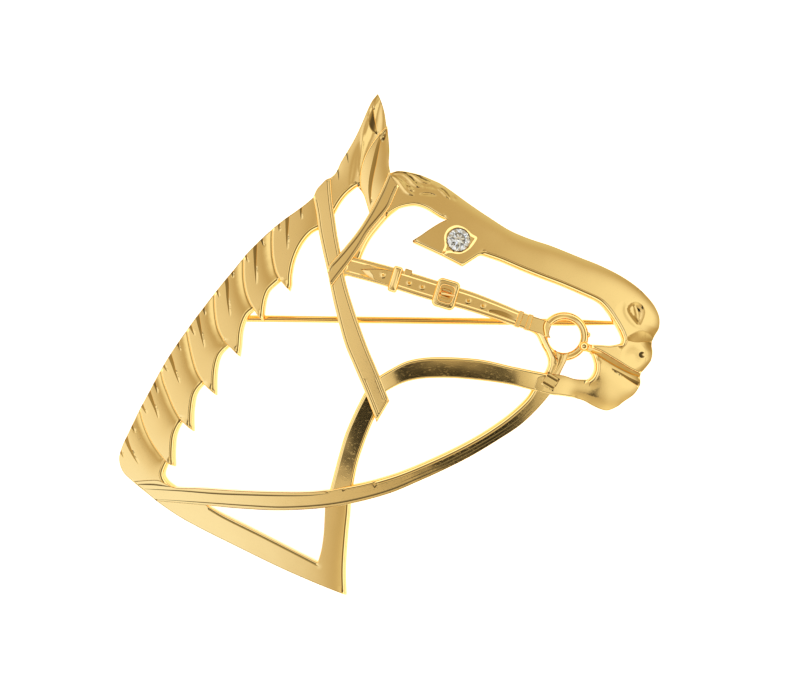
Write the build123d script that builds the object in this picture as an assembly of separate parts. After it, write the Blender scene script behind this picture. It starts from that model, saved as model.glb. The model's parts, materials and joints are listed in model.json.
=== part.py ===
from build123d import *

import os
from collections import namedtuple
from math import atan2, cos, degrees, pi, sin, sqrt

# A pierced horse head, cast and soldered in gold, with a wire pin behind it. It is drawn flat,
# front up, with its back at height 0, and at the end it is laid down as it rests: on the hinge,
# the catch and the lower tip of the neck

# Overall size of the head
WIDTH = 64.0
HEIGHT = 59.5

# Heights of the front above the flat back
NECK_TOP = 1.6
BREAST_TOP = 1.5
JAW_TOP = 1.7
FACE_TOP = 1.8
LIP_TOP = 2.1
EAR_TOP = 1.7
EAR_LEAF_TOP = 2.2
LOCK_LOW = 1.35
LOCK_HIGH = 2.1
FORELOCK_RISE = 0.3
CHEEKPIECE_TOP = 2.0
BROW_BASE_TOP = 1.7
BROWBAND_TOP = 2.35
NOSEBAND_TOP = 1.9
CURB_TOP = 1.55
REIN_TOP = 2.0
BUCKLE_RISE = 0.35
KEEPER_RISE = 0.35

# Engraved and sunk forms
GROOVE_WIDTH = 0.32
GROOVE_DEPTH = 0.22
EAR_FOLD_WIDTH = 1.1
EAR_FOLD_DEPTH = 0.45
NOSTRIL_DEPTH = 0.6
RECESS_DEPTH = 0.2
RECESS_SHARE = 0.52
HOLE_RADIUS = 0.2
HOLE_DEPTH = 0.35
FORELOCK_WIDTH = 0.42

# Bridle straps and fittings
NOSEBAND_WIDTH = 2.45
KEEPER_LENGTH = 1.1
KEEPER_OVERHANG = 0.25
BAND_LENGTH = 0.55
BUCKLE_LENGTH = 2.7
BUCKLE_SPAN = 3.3
BUCKLE_BAR = 0.52
PRONG_RADIUS = 0.22
REIN_KEEPER_LENGTH = 1.5
REIN_KEEPER_SPAN = 2.0
REIN_DROP_START = 1.1
REIN_DROP_END = 1.6
RING_RADIUS = 2.43
RING_WIRE = 0.95
RING_FLATS = 12
RING_BALL = 1.2
RING_BALL_OFFSET = 0.24
MOUTH_BAR = 0.8

# Eye stone, a round brilliant
STONE_DIAMETER = 2.68
STONE_TABLE_SHARE = 0.56
STONE_CROWN = 0.42
STONE_GIRDLE = 0.08
STONE_PAVILION = 1.1
STONE_SEAT = 1.72
STONE_GAP = 0.05
STONE_MAINS = 8
MAIN_SLOPE_SHARE = 0.92
EDGE_SLOPE_SHARE = 1.18
CULET_WIDTH = 0.5

# Pin, hinge and catch on the back
PIN_WIRE = 0.8
PIN_DEPTH = 1.5
PIN_TAPER = 9.0
PIN_POINT = 0.12
PIN_OVERHANG = 0.6
PIN_SHOULDER = 1.8
PIN_SHOULDER_RADIUS = 0.6
KNUCKLE_RADIUS = 0.95
KNUCKLE_WIDTH = 1.0
KNUCKLE_GAP = 0.06
STEM_KNUCKLE_RADIUS = 0.85
EAR_PLATE = 0.75
RIVET_RADIUS = 0.35
RIVET_GAP = 0.04
RIVET_HEAD = 0.12
RIVET_HEAD_RADIUS = 0.57
CATCH_LENGTH = 1.8
CATCH_GAP = 0.12
CATCH_POST = 1.5
FINDING_SINK = 0.3

# The picture grid. The tables below give places by column and row, and the head fills the grid
# from GRID_LEFT over GRID_WIDE columns and from GRID_TOP down GRID_HIGH rows, so that each
# place is a share of WIDTH and of HEIGHT
GRID_LEFT = 119.5
GRID_TOP = 93.5
GRID_WIDE = 540.0
GRID_HIGH = 502.0

# Ends closer than this are one point
SNAP = 1e-4

# Counts of steps in which a smooth edge follows a middle line
RIBBON_COUNT = 10
STRAP_COUNT = 12
PANEL_COUNT = 6

# Each lock of the mane: where its lower border leaves the crest, the bow of that border, its
# root between two points of the mane, and the lock's own pointed tip
Lock = namedtuple("Lock", "crest bow root tip")
LOCKS = [
    Lock((272.5, 229), (272.5, 256), (280, 282), (290.5, 291)),
    Lock((244, 262), (245, 290), (251, 311), (263.8, 321)),
    Lock((214.5, 295), (216.5, 322), (228, 346), (240, 356.5)),
    Lock((187, 332), (193.5, 361), (203, 384), (216.7, 395)),
    Lock((161, 371), (169, 396), (183, 422), (193.7, 431)),
    Lock((139.5, 410), (147, 432), (167, 465), (174.5, 466)),
]
MANE_START = (318, 230)
MANE_FOLD = (318, 200)
MANE_END = [(167, 465), (164, 474), (167, 481.5), (175, 488)]
LAST_BORDER = (112, 452)
LAST_ROOT = (150, 500)

# Columns right of a lock's tip and rows below the root above it where its edge turns down
TOOTH_CORNER = (1, 4)

# Columns: column and row along the crest of the mane, from the poll down to the rein
CREST = [
    (321, 190), (313, 197.5), (300, 208.5), (280, 223), (260, 240.5), (230, 274.5), (200, 312.5),
    (175, 347), (150, 391), (130, 430), (122, 447.5), (119.5, 459), (123, 471), (133.5, 481.5),
]

# Columns: start and end of the long groove of each lock
GROOVES = [
    ((289, 217), (287.5, 250)),
    ((257, 245), (256.5, 284)),
    ((229, 276), (229.5, 316)),
    ((199, 315), (204.5, 347)),
    ((172, 354), (180, 383)),
    ((151, 391), (158.5, 418)),
    ((128, 436), (138, 463)),
]

# Columns: column and row along each edge of the ear and poll
EAR_BACK = [(330, 178), (341, 162), (350, 147), (357, 134), (362, 123), (367.5, 110), (378, 93.5)]
EAR_FRONT = [(378, 93.5), (383, 107), (386.5, 125), (389, 143), (389, 160), (391, 176)]
EAR_HEEL = [(391, 176), (376, 206)]
POLL_RIGHT = [(357, 186.5), (362, 192), (366.5, 204), (369, 215)]
POLL_LEFT = [(334.5, 214), (339, 204), (346, 195), (357, 186.5)]
EAR_LEAF = [(370, 214), (363, 196), (360, 180), (362.5, 163), (372, 144), (386.5, 127)]
LEAF_FOLD = [(384.5, 134), (379, 152), (373, 178), (371, 204)]
EAR_HOLLOW = [(372, 117), (366, 132), (363.5, 150), (360, 168)]

# Columns: column and row along each edge of the face
FOREHEAD = [
    (389, 172.5), (405, 172), (420, 175), (440, 183.5), (460, 197.5), (480, 211.5), (500, 224.5),
    (520, 235), (550, 245.5), (580, 257.5), (610, 270), (630, 281.5), (645, 294.5), (654, 305.5),
    (659.5, 322), (657, 332), (652, 341), (652.3, 352), (650, 362), (640, 373.5),
]
UPPER_LIP = [(640, 373.5), (631, 369), (618, 361), (606, 353), (592, 347)]
MOUTH_TOP = [(591, 344.5), (600, 345), (613, 346.5), (621, 343.5)]
NOSE_UNDER = [
    (621, 343.5), (622, 338), (616, 326), (604, 308), (580, 294), (550, 281.5), (520, 270),
    (500, 261.5), (483, 255.5),
]
EYE_PLATE = [(483, 255.5), (474, 258.5), (463, 266), (440, 255), (413.5, 242)]
EYE_PLATE_TOP = [(413.5, 240.5), (429, 230), (446, 220)]
BROW_ARCH = [(446, 220), (432, 209.5), (416, 204.5), (399, 208.5), (386, 217)]
NOSTRIL = [
    (638.5, 326), (633, 320), (627, 313), (626.5, 307), (630, 303), (636, 301.5), (642, 306),
    (644, 313), (641, 321), (638.5, 326),
]
MOUTH = (604, 352)
MOUTH_LINE = [(621, 343.5), (650, 362)]

# Columns: start, middle and end of each raised lock of the forelock
FORELOCK = [
    [(393, 177), (401, 184), (411, 194)],
    [(394, 175.5), (408, 178.5), (423, 188)],
    [(408, 175), (419, 180.5), (432, 184)],
    [(437, 188.5), (443, 192.5), (449, 198)],
]

# Columns: column and row along each edge of the jaw bar and the chin
JAW_TOP_EDGE = [
    (372, 381), (389, 370), (406, 361.5), (423, 357.8), (446, 357), (481, 359.4), (512, 366.2),
    (548, 373),
]
WINDOW_UNDER = [(563, 375), (575, 379), (587, 380)]
WINDOW_CHIN = [(587, 380), (593.5, 374.5), (595, 366), (592, 357), (592, 351)]
LOWER_LIP = [(592, 351), (606, 358), (620, 366), (641, 370.5)]
CHIN = [
    (641, 370.5), (638.5, 386), (633, 395), (623, 402), (612, 409), (603, 410), (592, 405.5),
    (578, 399), (551, 394.5), (528, 389.2), (512, 385), (480, 380.5), (446, 378), (418, 379.4),
    (400, 384), (380, 394),
]

# Columns: column and row along the two edges of the neck bar and of the breast bar
NECK_LEFT = [(368, 386), (362, 397), (354, 413), (345, 434), (338, 457), (332, 480), (326, 504)]
NECK_RIGHT = [(377, 410), (371.5, 425), (364.5, 443), (358.5, 461), (354.5, 478), (351, 500)]
SHANK_LEFT = [(325, 495), (324.5, 515), (322, 543), (317.5, 564)]
SHANK_RIGHT = [(351, 495), (349.5, 525), (346.3, 560), (346.5, 595.5)]
BREAST_UNDER = [
    (133.5, 481.5), (155, 500), (180, 517), (210, 533), (250, 552.5), (290, 573), (320, 585),
    (346.5, 595.5),
]
BREAST_UPPER = [(330, 568), (290, 548), (250, 528), (207, 505), (165, 489)]
BREAST_HEEL = [(165, 482), (141, 477)]

# Columns: column and row along the two edges of each strap of the bridle
CHEEKPIECE_LEFT = [
    (313.3, 197.7), (318.5, 228), (327, 270), (337, 316), (352, 361), (364.5, 392), (376.8, 422),
]
CHEEKPIECE_RIGHT = [
    (389.5, 401), (377.5, 374), (362, 332), (350, 295), (341, 255), (335.5, 222), (330.8, 178),
]
CHEEKPIECE_CREST = [(330.8, 178), (322, 184), (313.3, 197.7)]
BROW_BASE = [(400, 207.5), (385, 221), (373, 234), (363.5, 252), (358, 264), (343, 276)]
BROWBAND_LEFT = [(327, 270.5), (345, 247.5), (358, 231), (370, 212), (380, 193), (388.5, 173)]
BROWBAND_RIGHT = [(399, 187), (390, 207), (380, 220), (366, 239), (350, 263), (331.5, 287)]
CURB_LEFT = [(531, 330), (538, 342), (546, 355), (549.3, 363), (545, 377)]
CURB_RIGHT = [(557, 374), (559, 362), (555, 351), (548, 338), (543, 320)]
REIN_UPPER = [
    (134.5, 481), (165, 483), (185, 487.5), (220, 489.5), (260, 491), (300, 492), (328, 490),
    (360, 483.5), (400, 472), (440, 455), (480, 434), (510, 413.5), (527, 398), (541, 380),
]
REIN_LOWER = [
    (556, 386), (543, 402), (530, 416), (510, 432), (480, 450), (450, 467.5), (420, 480),
    (390, 493), (350, 503.5), (320, 508), (280, 510), (245, 508.5), (200, 504.5), (157, 500.8),
]

# Columns: column, row and share of the full width at stations along the noseband, from the
# cheekpiece to the ring
Station = namedtuple("Station", "column row share")
NOSEBAND = [
    Station(340, 263.5, 0.94),
    Station(385, 275.5, 0.98),
    Station(417, 285.3, 1.0),
    Station(444, 293.5, 0.98),
    Station(470, 301.3, 0.92),
    Station(497, 310.8, 0.82),
    Station(520, 319.5, 0.73),
    Station(541, 326.5, 0.69),
]

# Shares of the noseband's length: where its sunk panels start and end, its holes, and fittings
PANELS = [(0.09, 0.22), (0.31, 0.43), (0.61, 0.85)]
STRAP_HOLES = [0.205, 0.335, 0.4, 0.625, 0.70]
KEEPER_AT = 0.265
BUCKLE_AT = 0.51
BANDS_AT = [0.885, 0.935]
STRAP_END_AT = 0.97

# Places on the picture grid of the fittings
RING_AT = (564.4, 336.3)
BALL_ANGLE = -27.0
CURB_ANGLE = 158.0
REIN_END_ANGLE = -98.0
REIN_KEEPER_AT = (549.5, 383)
REIN_KEEPER_TURN = -27.0
EYE_AT = (458.5, 240)
HINGE_AT = (228, 317.8)
CATCH_AT = (634, 322.8)


def place(column, row, height=0.0):
    """Point of the flat head for a place on the picture grid."""
    across = (column - GRID_LEFT) / GRID_WIDE - 0.5
    up = 0.5 - (row - GRID_TOP) / GRID_HIGH
    return Vector(WIDTH * across, HEIGHT * up, height)


def line_through(points):
    """Straight edge through two points, or a smooth one through more."""
    return Line(*points) if len(points) == 2 else Spline(*points)


def outline(*runs):
    """Face inside smooth runs of places, with straight edges where one run ends off the next."""
    edges = []
    for index, run in enumerate(runs):
        points = [place(*spot) for spot in run]
        edges.append(line_through(points))
        following = place(*runs[(index + 1) % len(runs)][0])
        if (points[-1] - following).length > SNAP:
            edges.append(Line(points[-1], following))
    return Face(Wire(edges))


def ribbon(points, start_width, end_width):
    """Face along a smooth line through points, with a width at the start and at the end."""
    middle = line_through(points)
    left, right = [], []
    for step in range(RIBBON_COUNT + 1):
        share = step / RIBBON_COUNT
        centre, ahead = middle @ share, middle % share
        side = Vector(-ahead.Y, ahead.X) * (start_width + (end_width - start_width) * share) / 2
        left.append(centre + side)
        right.insert(0, centre - side)
    edges = [Spline(*left), Line(left[-1], right[0]), Spline(*right), Line(right[-1], left[0])]
    return Face(Wire(edges))


def slab(face, top, bottom=0.0):
    """Plate over a face, from one height to another."""
    return Pos(0, 0, bottom) * extrude(face, amount=top - bottom, dir=(0, 0, 1))


def polar(centre, radius, angle, height=0.0):
    """Point at a radius and an angle in degrees round a centre."""
    turn = angle * pi / 180
    return Vector(centre.X + radius * cos(turn), centre.Y + radius * sin(turn), height)


def groove(start, end, width, depth):
    """Vee-shaped cutter under the straight line from start to end on the surface."""
    ahead = (end - start).normalized()
    flat = Plane(origin=start, x_dir=Vector(-ahead.Y, ahead.X, 0), z_dir=ahead)
    rise = depth / 2
    mouth = width / 2 * (depth + rise) / depth
    lift = 1 if flat.y_dir.Z > 0 else -1
    section = Polyline((-mouth, rise * lift), (mouth, rise * lift), (0, -depth * lift), close=True)
    return extrude(flat * make_face(section), amount=(end - start).length, dir=ahead)


def border_plane(upper, lower):
    """Sloping top of one lock, low at the border above it and high at its own."""
    along = (place(*lower.root) - place(*lower.crest)).normalized()
    rise = place(*lower.bow, LOCK_HIGH) - place(*upper.bow, LOCK_LOW)
    normal = along.cross(rise)
    if normal.Z < 0:
        normal = normal * -1
    return Plane(origin=place(*lower.bow, LOCK_HIGH), z_dir=normal)


def surface_height(plane, column, row):
    """Point of a sloping plane over a place on the picture grid."""
    spot = place(column, row)
    offset = plane.origin - spot
    return spot + Vector(0, 0, offset.dot(plane.z_dir) / plane.z_dir.Z)


def mane():
    """Seven overlapping locks, each sloping down to the raised border of the one above it."""
    teeth = []
    start = MANE_START
    for lock in LOCKS:
        corner = (lock.tip[0] + TOOTH_CORNER[0], start[1] + TOOTH_CORNER[1])
        teeth.append(Bezier(place(*start), place(*corner), place(*lock.tip)))
        teeth.append(Line(place(*lock.tip), place(*lock.root)))
        start = lock.root
    teeth.append(Spline(*[place(*spot) for spot in MANE_END]))
    crest = Spline(*[place(*spot) for spot in CREST])
    heel = Line(crest @ 1, teeth[-1] @ 1)
    throat = Line(place(*MANE_START), crest @ 0)
    solid = slab(Face(Wire([crest, heel, throat] + teeth)), LOCK_HIGH)
    fold = Lock(MANE_FOLD, MANE_FOLD, MANE_START, None)
    last = Lock(LAST_BORDER, LAST_BORDER, LAST_ROOT, None)
    uppers = [fold] + LOCKS
    lowers = LOCKS + [last]
    planes = [border_plane(upper, lower) for upper, lower in zip(uppers, lowers)]
    for upper, plane in zip(uppers, planes):
        solid -= lock_cutter(upper, plane)
    for plane, (start, end) in zip(planes, GROOVES):
        solid -= groove(surface_height(plane, *start), surface_height(plane, *end),
                        GROOVE_WIDTH, GROOVE_DEPTH)
    return solid


def lock_cutter(upper, plane):
    """Everything over a lock's sloping top, beyond the border of the lock above it."""
    reach = WIDTH + HEIGHT
    head, foot = place(*upper.crest), place(*upper.root)
    out = (head - foot).normalized()
    edge = [head + out * reach, head]
    curve = [head, place(*upper.bow), foot]
    tail = foot - out * reach
    side = Vector(-reach, -reach, 0)
    straight = upper.bow == upper.crest
    edges = [Line(*edge), Line(head, foot) if straight else Spline(*curve), Line(foot, tail),
             Line(tail, tail + side), Line(tail + side, edge[0] + side),
             Line(edge[0] + side, edge[0])]
    block = slab(Face(Wire(edges)), 2 * LOCK_HIGH, LOCK_LOW / 2)
    over = plane * Box(4 * reach, 4 * reach, reach, align=(
        Align.CENTER, Align.CENTER, Align.MIN))
    return block & over


def ear():
    """Ear of two leaves, with a fold down each, over the poll."""
    body = slab(outline(EAR_BACK, EAR_FRONT, EAR_HEEL, POLL_RIGHT[::-1], POLL_LEFT[::-1]), EAR_TOP)
    leaf = slab(outline(EAR_LEAF, EAR_FRONT[2:], EAR_HEEL), EAR_LEAF_TOP)
    solid = body + leaf
    for start, end in zip(EAR_HOLLOW, EAR_HOLLOW[1:]):
        solid -= groove(place(*start, EAR_TOP), place(*end, EAR_TOP),
                        EAR_FOLD_WIDTH, EAR_FOLD_DEPTH)
    for start, end in zip(LEAF_FOLD, LEAF_FOLD[1:]):
        solid -= groove(place(*start, EAR_LEAF_TOP), place(*end, EAR_LEAF_TOP),
                        EAR_FOLD_WIDTH, EAR_FOLD_DEPTH)
    return solid


def face():
    """Forehead, nose, muzzle and eye plate, with the forelock, nostril and upper lip."""
    plate = slab(outline(FOREHEAD, UPPER_LIP, MOUTH_TOP, NOSE_UNDER, EYE_PLATE, EYE_PLATE_TOP,
                         BROW_ARCH), FACE_TOP)
    for points in FORELOCK:
        plate += slab(ribbon([place(*spot) for spot in points], FORELOCK_WIDTH, FORELOCK_WIDTH),
                      FACE_TOP + FORELOCK_RISE)
    plate += slab(outline(UPPER_LIP, MOUTH_TOP, MOUTH_LINE), LIP_TOP)
    nostril = slab(outline(NOSTRIL[:6], NOSTRIL[5:]), LIP_TOP, FACE_TOP - NOSTRIL_DEPTH)
    return plate - nostril - stone_seat()


def jaw():
    """Jaw bar running into the chin and the lower lip."""
    bar = outline(JAW_TOP_EDGE, WINDOW_UNDER, WINDOW_CHIN, LOWER_LIP, CHIN)
    return slab(bar, JAW_TOP)


def neck():
    """Neck bar down to the rein, and the shank below it."""
    return slab(outline(NECK_LEFT, NECK_RIGHT[::-1]), NECK_TOP) + slab(
        outline(SHANK_LEFT, SHANK_RIGHT[::-1]), NECK_TOP)


def breast():
    """Sloping bar from the foot of the mane to the lower tip of the neck."""
    return slab(outline(BREAST_UNDER, BREAST_UPPER, BREAST_HEEL), BREAST_TOP)


def rein():
    """Leaf-shaped rein from the foot of the mane up to the keeper at the jaw."""
    return slab(outline(REIN_UPPER, REIN_LOWER), REIN_TOP)


def cheekpiece():
    """Strap from the poll over the cheek to the jaw bar."""
    return slab(outline(CHEEKPIECE_LEFT, CHEEKPIECE_RIGHT, CHEEKPIECE_CREST), CHEEKPIECE_TOP)


def browband():
    """Strap from the forelock down over the cheekpiece, on a wider base."""
    base = slab(outline([BROWBAND_RIGHT[0], BROW_BASE[0]], BROW_BASE,
                        [BROWBAND_RIGHT[-1], BROWBAND_LEFT[0]], BROWBAND_LEFT), BROW_BASE_TOP)
    return base + slab(outline(BROWBAND_LEFT, BROWBAND_RIGHT), BROWBAND_TOP)


def noseband_middle():
    """Smooth middle line of the noseband."""
    return Spline(*[place(station.column, station.row) for station in NOSEBAND])


def noseband_plane(share, height=0.0):
    """Plane at a share of the noseband's length, its x along the strap."""
    middle = noseband_middle()
    spot = middle @ share
    return Plane(origin=(spot.X, spot.Y, height), x_dir=middle % share, z_dir=(0, 0, 1))


def noseband_width(share):
    """Width of the noseband at a share of its length."""
    middle = noseband_middle()
    column = (middle @ share).X
    ends = [(place(station.column, station.row).X, station.share) for station in NOSEBAND]
    for (low, full), (high, following) in zip(ends, ends[1:]):
        if column <= high:
            return NOSEBAND_WIDTH * (full + (following - full) * (column - low) / (high - low))
    return NOSEBAND_WIDTH * ends[-1][1]


def noseband_strip(start, end, share_across, count):
    """Face along the noseband between two shares, over a share of its width."""
    middle = noseband_middle()
    left, right = [], []
    for step in range(count + 1):
        share = start + (end - start) * step / count
        centre, ahead = middle @ share, middle % share
        side = Vector(-ahead.Y, ahead.X) * noseband_width(share) / 2 * share_across
        left.append(centre + side)
        right.insert(0, centre - side)
    edges = [Spline(*left), Line(left[-1], right[0]), Spline(*right), Line(right[-1], left[0])]
    return Face(Wire(edges))


def noseband():
    """Strap with sunk panels and punched holes, its keeper, buckle and two end bands."""
    strap = slab(noseband_strip(0, 1, 1, STRAP_COUNT), NOSEBAND_TOP)
    for start, end in PANELS:
        strap -= slab(noseband_strip(start, end, RECESS_SHARE, PANEL_COUNT), 2 * NOSEBAND_TOP,
                      NOSEBAND_TOP - RECESS_DEPTH)
    for share in STRAP_HOLES:
        floor = NOSEBAND_TOP - RECESS_DEPTH - HOLE_DEPTH
        hole = noseband_plane(share, floor) * Cylinder(
            HOLE_RADIUS, NOSEBAND_TOP, align=(Align.CENTER, Align.CENTER, Align.MIN))
        strap -= hole
    strap += fitting(KEEPER_AT, KEEPER_LENGTH, NOSEBAND_TOP + KEEPER_RISE)
    for share in BANDS_AT:
        strap += fitting(share, BAND_LENGTH, NOSEBAND_TOP + KEEPER_RISE / 2)
    return strap + buckle()


def fitting(share, length, top):
    """Flat loop round the noseband."""
    span = noseband_width(share) + 2 * KEEPER_OVERHANG
    return noseband_plane(share) * Box(length, span, top, align=(
        Align.CENTER, Align.CENTER, Align.MIN))


def buckle():
    """Rounded buckle frame with its prong, standing on the noseband."""
    top = NOSEBAND_TOP + BUCKLE_RISE
    outer = RectangleRounded(BUCKLE_LENGTH, BUCKLE_SPAN, BUCKLE_BAR)
    inner = RectangleRounded(BUCKLE_LENGTH - 2 * BUCKLE_BAR, BUCKLE_SPAN - 2 * BUCKLE_BAR,
                             BUCKLE_BAR / 2)
    frame = extrude(outer, amount=top) - Pos(0, 0, NOSEBAND_TOP - RECESS_DEPTH) * extrude(
        inner, amount=top)
    prong = Pos(0, 0, NOSEBAND_TOP) * Rot(0, 90, 0) * Cylinder(
        PRONG_RADIUS, BUCKLE_LENGTH - BUCKLE_BAR)
    return noseband_plane(BUCKLE_AT) * (frame + prong)


def ring_centre(height=0.0):
    """Middle of the bit ring."""
    return place(*RING_AT, height)


def bit():
    """Bit ring with its ball and the short bar into the mouth, and the strap ends that hold it."""
    level = RING_WIRE
    section = Plane.XZ * Pos(RING_RADIUS, level) * RegularPolygon(RING_WIRE / 2, RING_FLATS)
    ring = Pos(ring_centre()) * revolve(section, axis=Axis.Z)
    ball = polar(ring_centre(), RING_RADIUS + RING_BALL_OFFSET, BALL_ANGLE, level)
    ring += Pos(ball) * Sphere(RING_BALL / 2)
    bar = slab(ribbon([polar(ring_centre(), RING_RADIUS, BALL_ANGLE), place(*MOUTH)],
                      MOUTH_BAR, MOUTH_BAR), CURB_TOP)
    strap = ribbon([noseband_middle() @ STRAP_END_AT, polar(ring_centre(), RING_RADIUS, CURB_ANGLE)],
                   noseband_width(1), noseband_width(1))
    drop = ribbon([polar(ring_centre(), RING_RADIUS, REIN_END_ANGLE), place(*REIN_KEEPER_AT)],
                  REIN_DROP_START, REIN_DROP_END)
    curb = slab(outline(CURB_LEFT, CURB_RIGHT), CURB_TOP)
    keeper = Pos(place(*REIN_KEEPER_AT)) * Rot(0, 0, REIN_KEEPER_TURN) * Box(
        REIN_KEEPER_SPAN, REIN_KEEPER_LENGTH, REIN_TOP + KEEPER_RISE,
        align=(Align.CENTER, Align.CENTER, Align.MIN))
    return [ring, bar, slab(strap, NOSEBAND_TOP), slab(drop, NOSEBAND_TOP), curb, keeper]


def facet_cut(radius, height, slope, turn, above):
    """Block beyond a sloping facet plane that passes at a radius and height."""
    size = 4 * STONE_DIAMETER
    lean = slope if above else -slope
    shift = size / 2
    return Rot(0, 0, turn) * Pos(radius, 0, height) * Rot(0, lean, 0) * Pos(
        0, 0, shift if above else -shift) * Box(size, size, size)


def stone():
    """Round brilliant with a table, eight main and sixteen edge facets above, and eight below."""
    radius = STONE_DIAMETER / 2
    girdle_top = STONE_SEAT + STONE_GIRDLE / 2
    girdle_low = STONE_SEAT - STONE_GIRDLE / 2
    crown_slope = degrees(atan2(STONE_CROWN, radius - radius * STONE_TABLE_SHARE))
    pavilion_slope = degrees(atan2(STONE_PAVILION, radius))
    sides = 2 * STONE_MAINS
    flat = radius * cos(pi / sides)
    cut = slab(RegularPolygon(radius, sides, major_radius=True).face(),
               girdle_top + STONE_CROWN, girdle_low - STONE_PAVILION)
    for index in range(STONE_MAINS):
        turn = 360 / STONE_MAINS * index
        cut -= facet_cut(flat, girdle_top, crown_slope * MAIN_SLOPE_SHARE,
                         turn + 180 / STONE_MAINS, True)
        cut -= facet_cut(flat, girdle_low, pavilion_slope, turn, False)
    for index in range(sides):
        turn = 360 / sides * (index + 0.5)
        cut -= facet_cut(flat, girdle_top, crown_slope * EDGE_SLOPE_SHARE, turn, True)
    return Pos(place(*EYE_AT)) * cut


def stone_seat():
    """Hole through the eye plate that the stone sits in, with a small gap all round."""
    radius = STONE_DIAMETER / 2 + STONE_GAP
    floor = STONE_SEAT - STONE_GIRDLE / 2 - STONE_PAVILION
    cone = Pos(0, 0, floor) * Cone(CULET_WIDTH / 2, radius, STONE_PAVILION, align=(
        Align.CENTER, Align.CENTER, Align.MIN))
    drum = Pos(0, 0, floor + STONE_PAVILION) * Cylinder(radius, FACE_TOP, align=(
        Align.CENTER, Align.CENTER, Align.MIN))
    through = Cylinder(CULET_WIDTH / 2, 4 * FACE_TOP)
    return Pos(place(*EYE_AT)) * (cone + drum + through)


def pin_plane():
    """Plane at the hinge axis: x along the stem to the catch, z square to the back."""
    hinge, catch = place(*HINGE_AT, -PIN_DEPTH), place(*CATCH_AT, -PIN_DEPTH)
    return Plane(origin=hinge, x_dir=catch - hinge, z_dir=(0, 0, 1))


def hinge_to_catch():
    """Distance from the hinge axis to the middle of the catch."""
    return (place(*CATCH_AT) - place(*HINGE_AT)).length


def cross_pin(radius, length):
    """Round bar along the hinge axis."""
    return Rot(90, 0, 0) * Cylinder(radius, length)


def hinge_ears():
    """Two ears on the back of the mane with a hole for the rivet."""
    ears = []
    for side in (-1, 1):
        middle = side * (KNUCKLE_WIDTH / 2 + KNUCKLE_GAP + EAR_PLATE / 2)
        disc = cross_pin(KNUCKLE_RADIUS, EAR_PLATE)
        post = Box(2 * KNUCKLE_RADIUS, EAR_PLATE, PIN_DEPTH + FINDING_SINK, align=(
            Align.CENTER, Align.CENTER, Align.MIN))
        ear_plate = disc + post - cross_pin(RIVET_RADIUS + RIVET_GAP, 2 * EAR_PLATE)
        ears.append(pin_plane() * Pos(0, middle, 0) * ear_plate)
    return ears


def catch():
    """Open round hook on the back of the muzzle, its mouth away from the head."""
    inner = PIN_WIRE / 2 + CATCH_GAP
    outer = sqrt(KNUCKLE_RADIUS ** 2 + inner ** 2)
    tube = Rot(0, 90, 0) * Cylinder(outer, CATCH_LENGTH)
    post = Box(CATCH_LENGTH, CATCH_POST, PIN_DEPTH + FINDING_SINK, align=(
        Align.CENTER, Align.CENTER, Align.MIN))
    bore = Rot(0, 90, 0) * Cylinder(inner, 2 * CATCH_LENGTH)
    mouth = Box(2 * CATCH_LENGTH, 2 * inner, 2 * outer, align=(
        Align.CENTER, Align.CENTER, Align.MAX))
    return pin_plane() * Pos(hinge_to_catch(), 0, 0) * (tube + post - bore - mouth)


def pin_stem():
    """Wire stem, swelling to a hinge knuckle at one end and tapering to a point at the other."""
    radius = PIN_WIRE / 2
    reach = hinge_to_catch() + CATCH_LENGTH / 2 + PIN_OVERHANG
    taper = min(PIN_TAPER, reach / 3)
    side = Polyline((0, 0), (0, PIN_SHOULDER_RADIUS), (PIN_SHOULDER, radius), (reach - taper, radius),
                    (reach, PIN_POINT), (reach, 0), close=True)
    wire = revolve(make_face(side), axis=Axis.X)
    knuckle = cross_pin(STEM_KNUCKLE_RADIUS, KNUCKLE_WIDTH)
    bore = cross_pin(RIVET_RADIUS + RIVET_GAP, 2 * KNUCKLE_WIDTH)
    return pin_plane() * (wire + knuckle - bore)


def hinge_rivet():
    """Rivet through the ears and the knuckle, with a low head at each end."""
    span = KNUCKLE_WIDTH + 2 * KNUCKLE_GAP + 2 * EAR_PLATE
    rivet = cross_pin(RIVET_RADIUS, span + 2 * RIVET_GAP)
    for side in (-1, 1):
        head = cross_pin(RIVET_HEAD_RADIUS, RIVET_HEAD)
        rivet += Pos(0, side * (span / 2 + RIVET_GAP + RIVET_HEAD / 2), 0) * head
    return pin_plane() * rivet


def rest_tilt():
    """Angle between the back and the surface when the head rests on findings and neck tip."""
    half_span = KNUCKLE_WIDTH / 2 + KNUCKLE_GAP + EAR_PLATE
    drop = PIN_DEPTH + KNUCKLE_RADIUS
    run = place(*HINGE_AT).Y - half_span - place(*BREAST_UNDER[-1]).Y
    return degrees(atan2(drop, run))


def head():
    """The whole pierced head as one soldered solid."""
    pieces = [ear(), face(), jaw(), neck(), breast(), rein(), cheekpiece(), browband(),
              noseband()] + bit() + hinge_ears() + [catch()]
    return mane() + pieces


def laid_down(nodes):
    """All nodes turned to their rest and set over the origin, standing on height 0."""
    turned = {name: Rot(rest_tilt(), 0, 0) * solid for name, solid in nodes.items()}
    boxes = [solid.bounding_box() for solid in turned.values()]
    left, right = min(box.min.X for box in boxes), max(box.max.X for box in boxes)
    front, back = min(box.min.Y for box in boxes), max(box.max.Y for box in boxes)
    shift = Pos(-(left + right) / 2, -(front + back) / 2, -min(box.min.Z for box in boxes))
    return {name: shift * solid for name, solid in turned.items()}, shift


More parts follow.
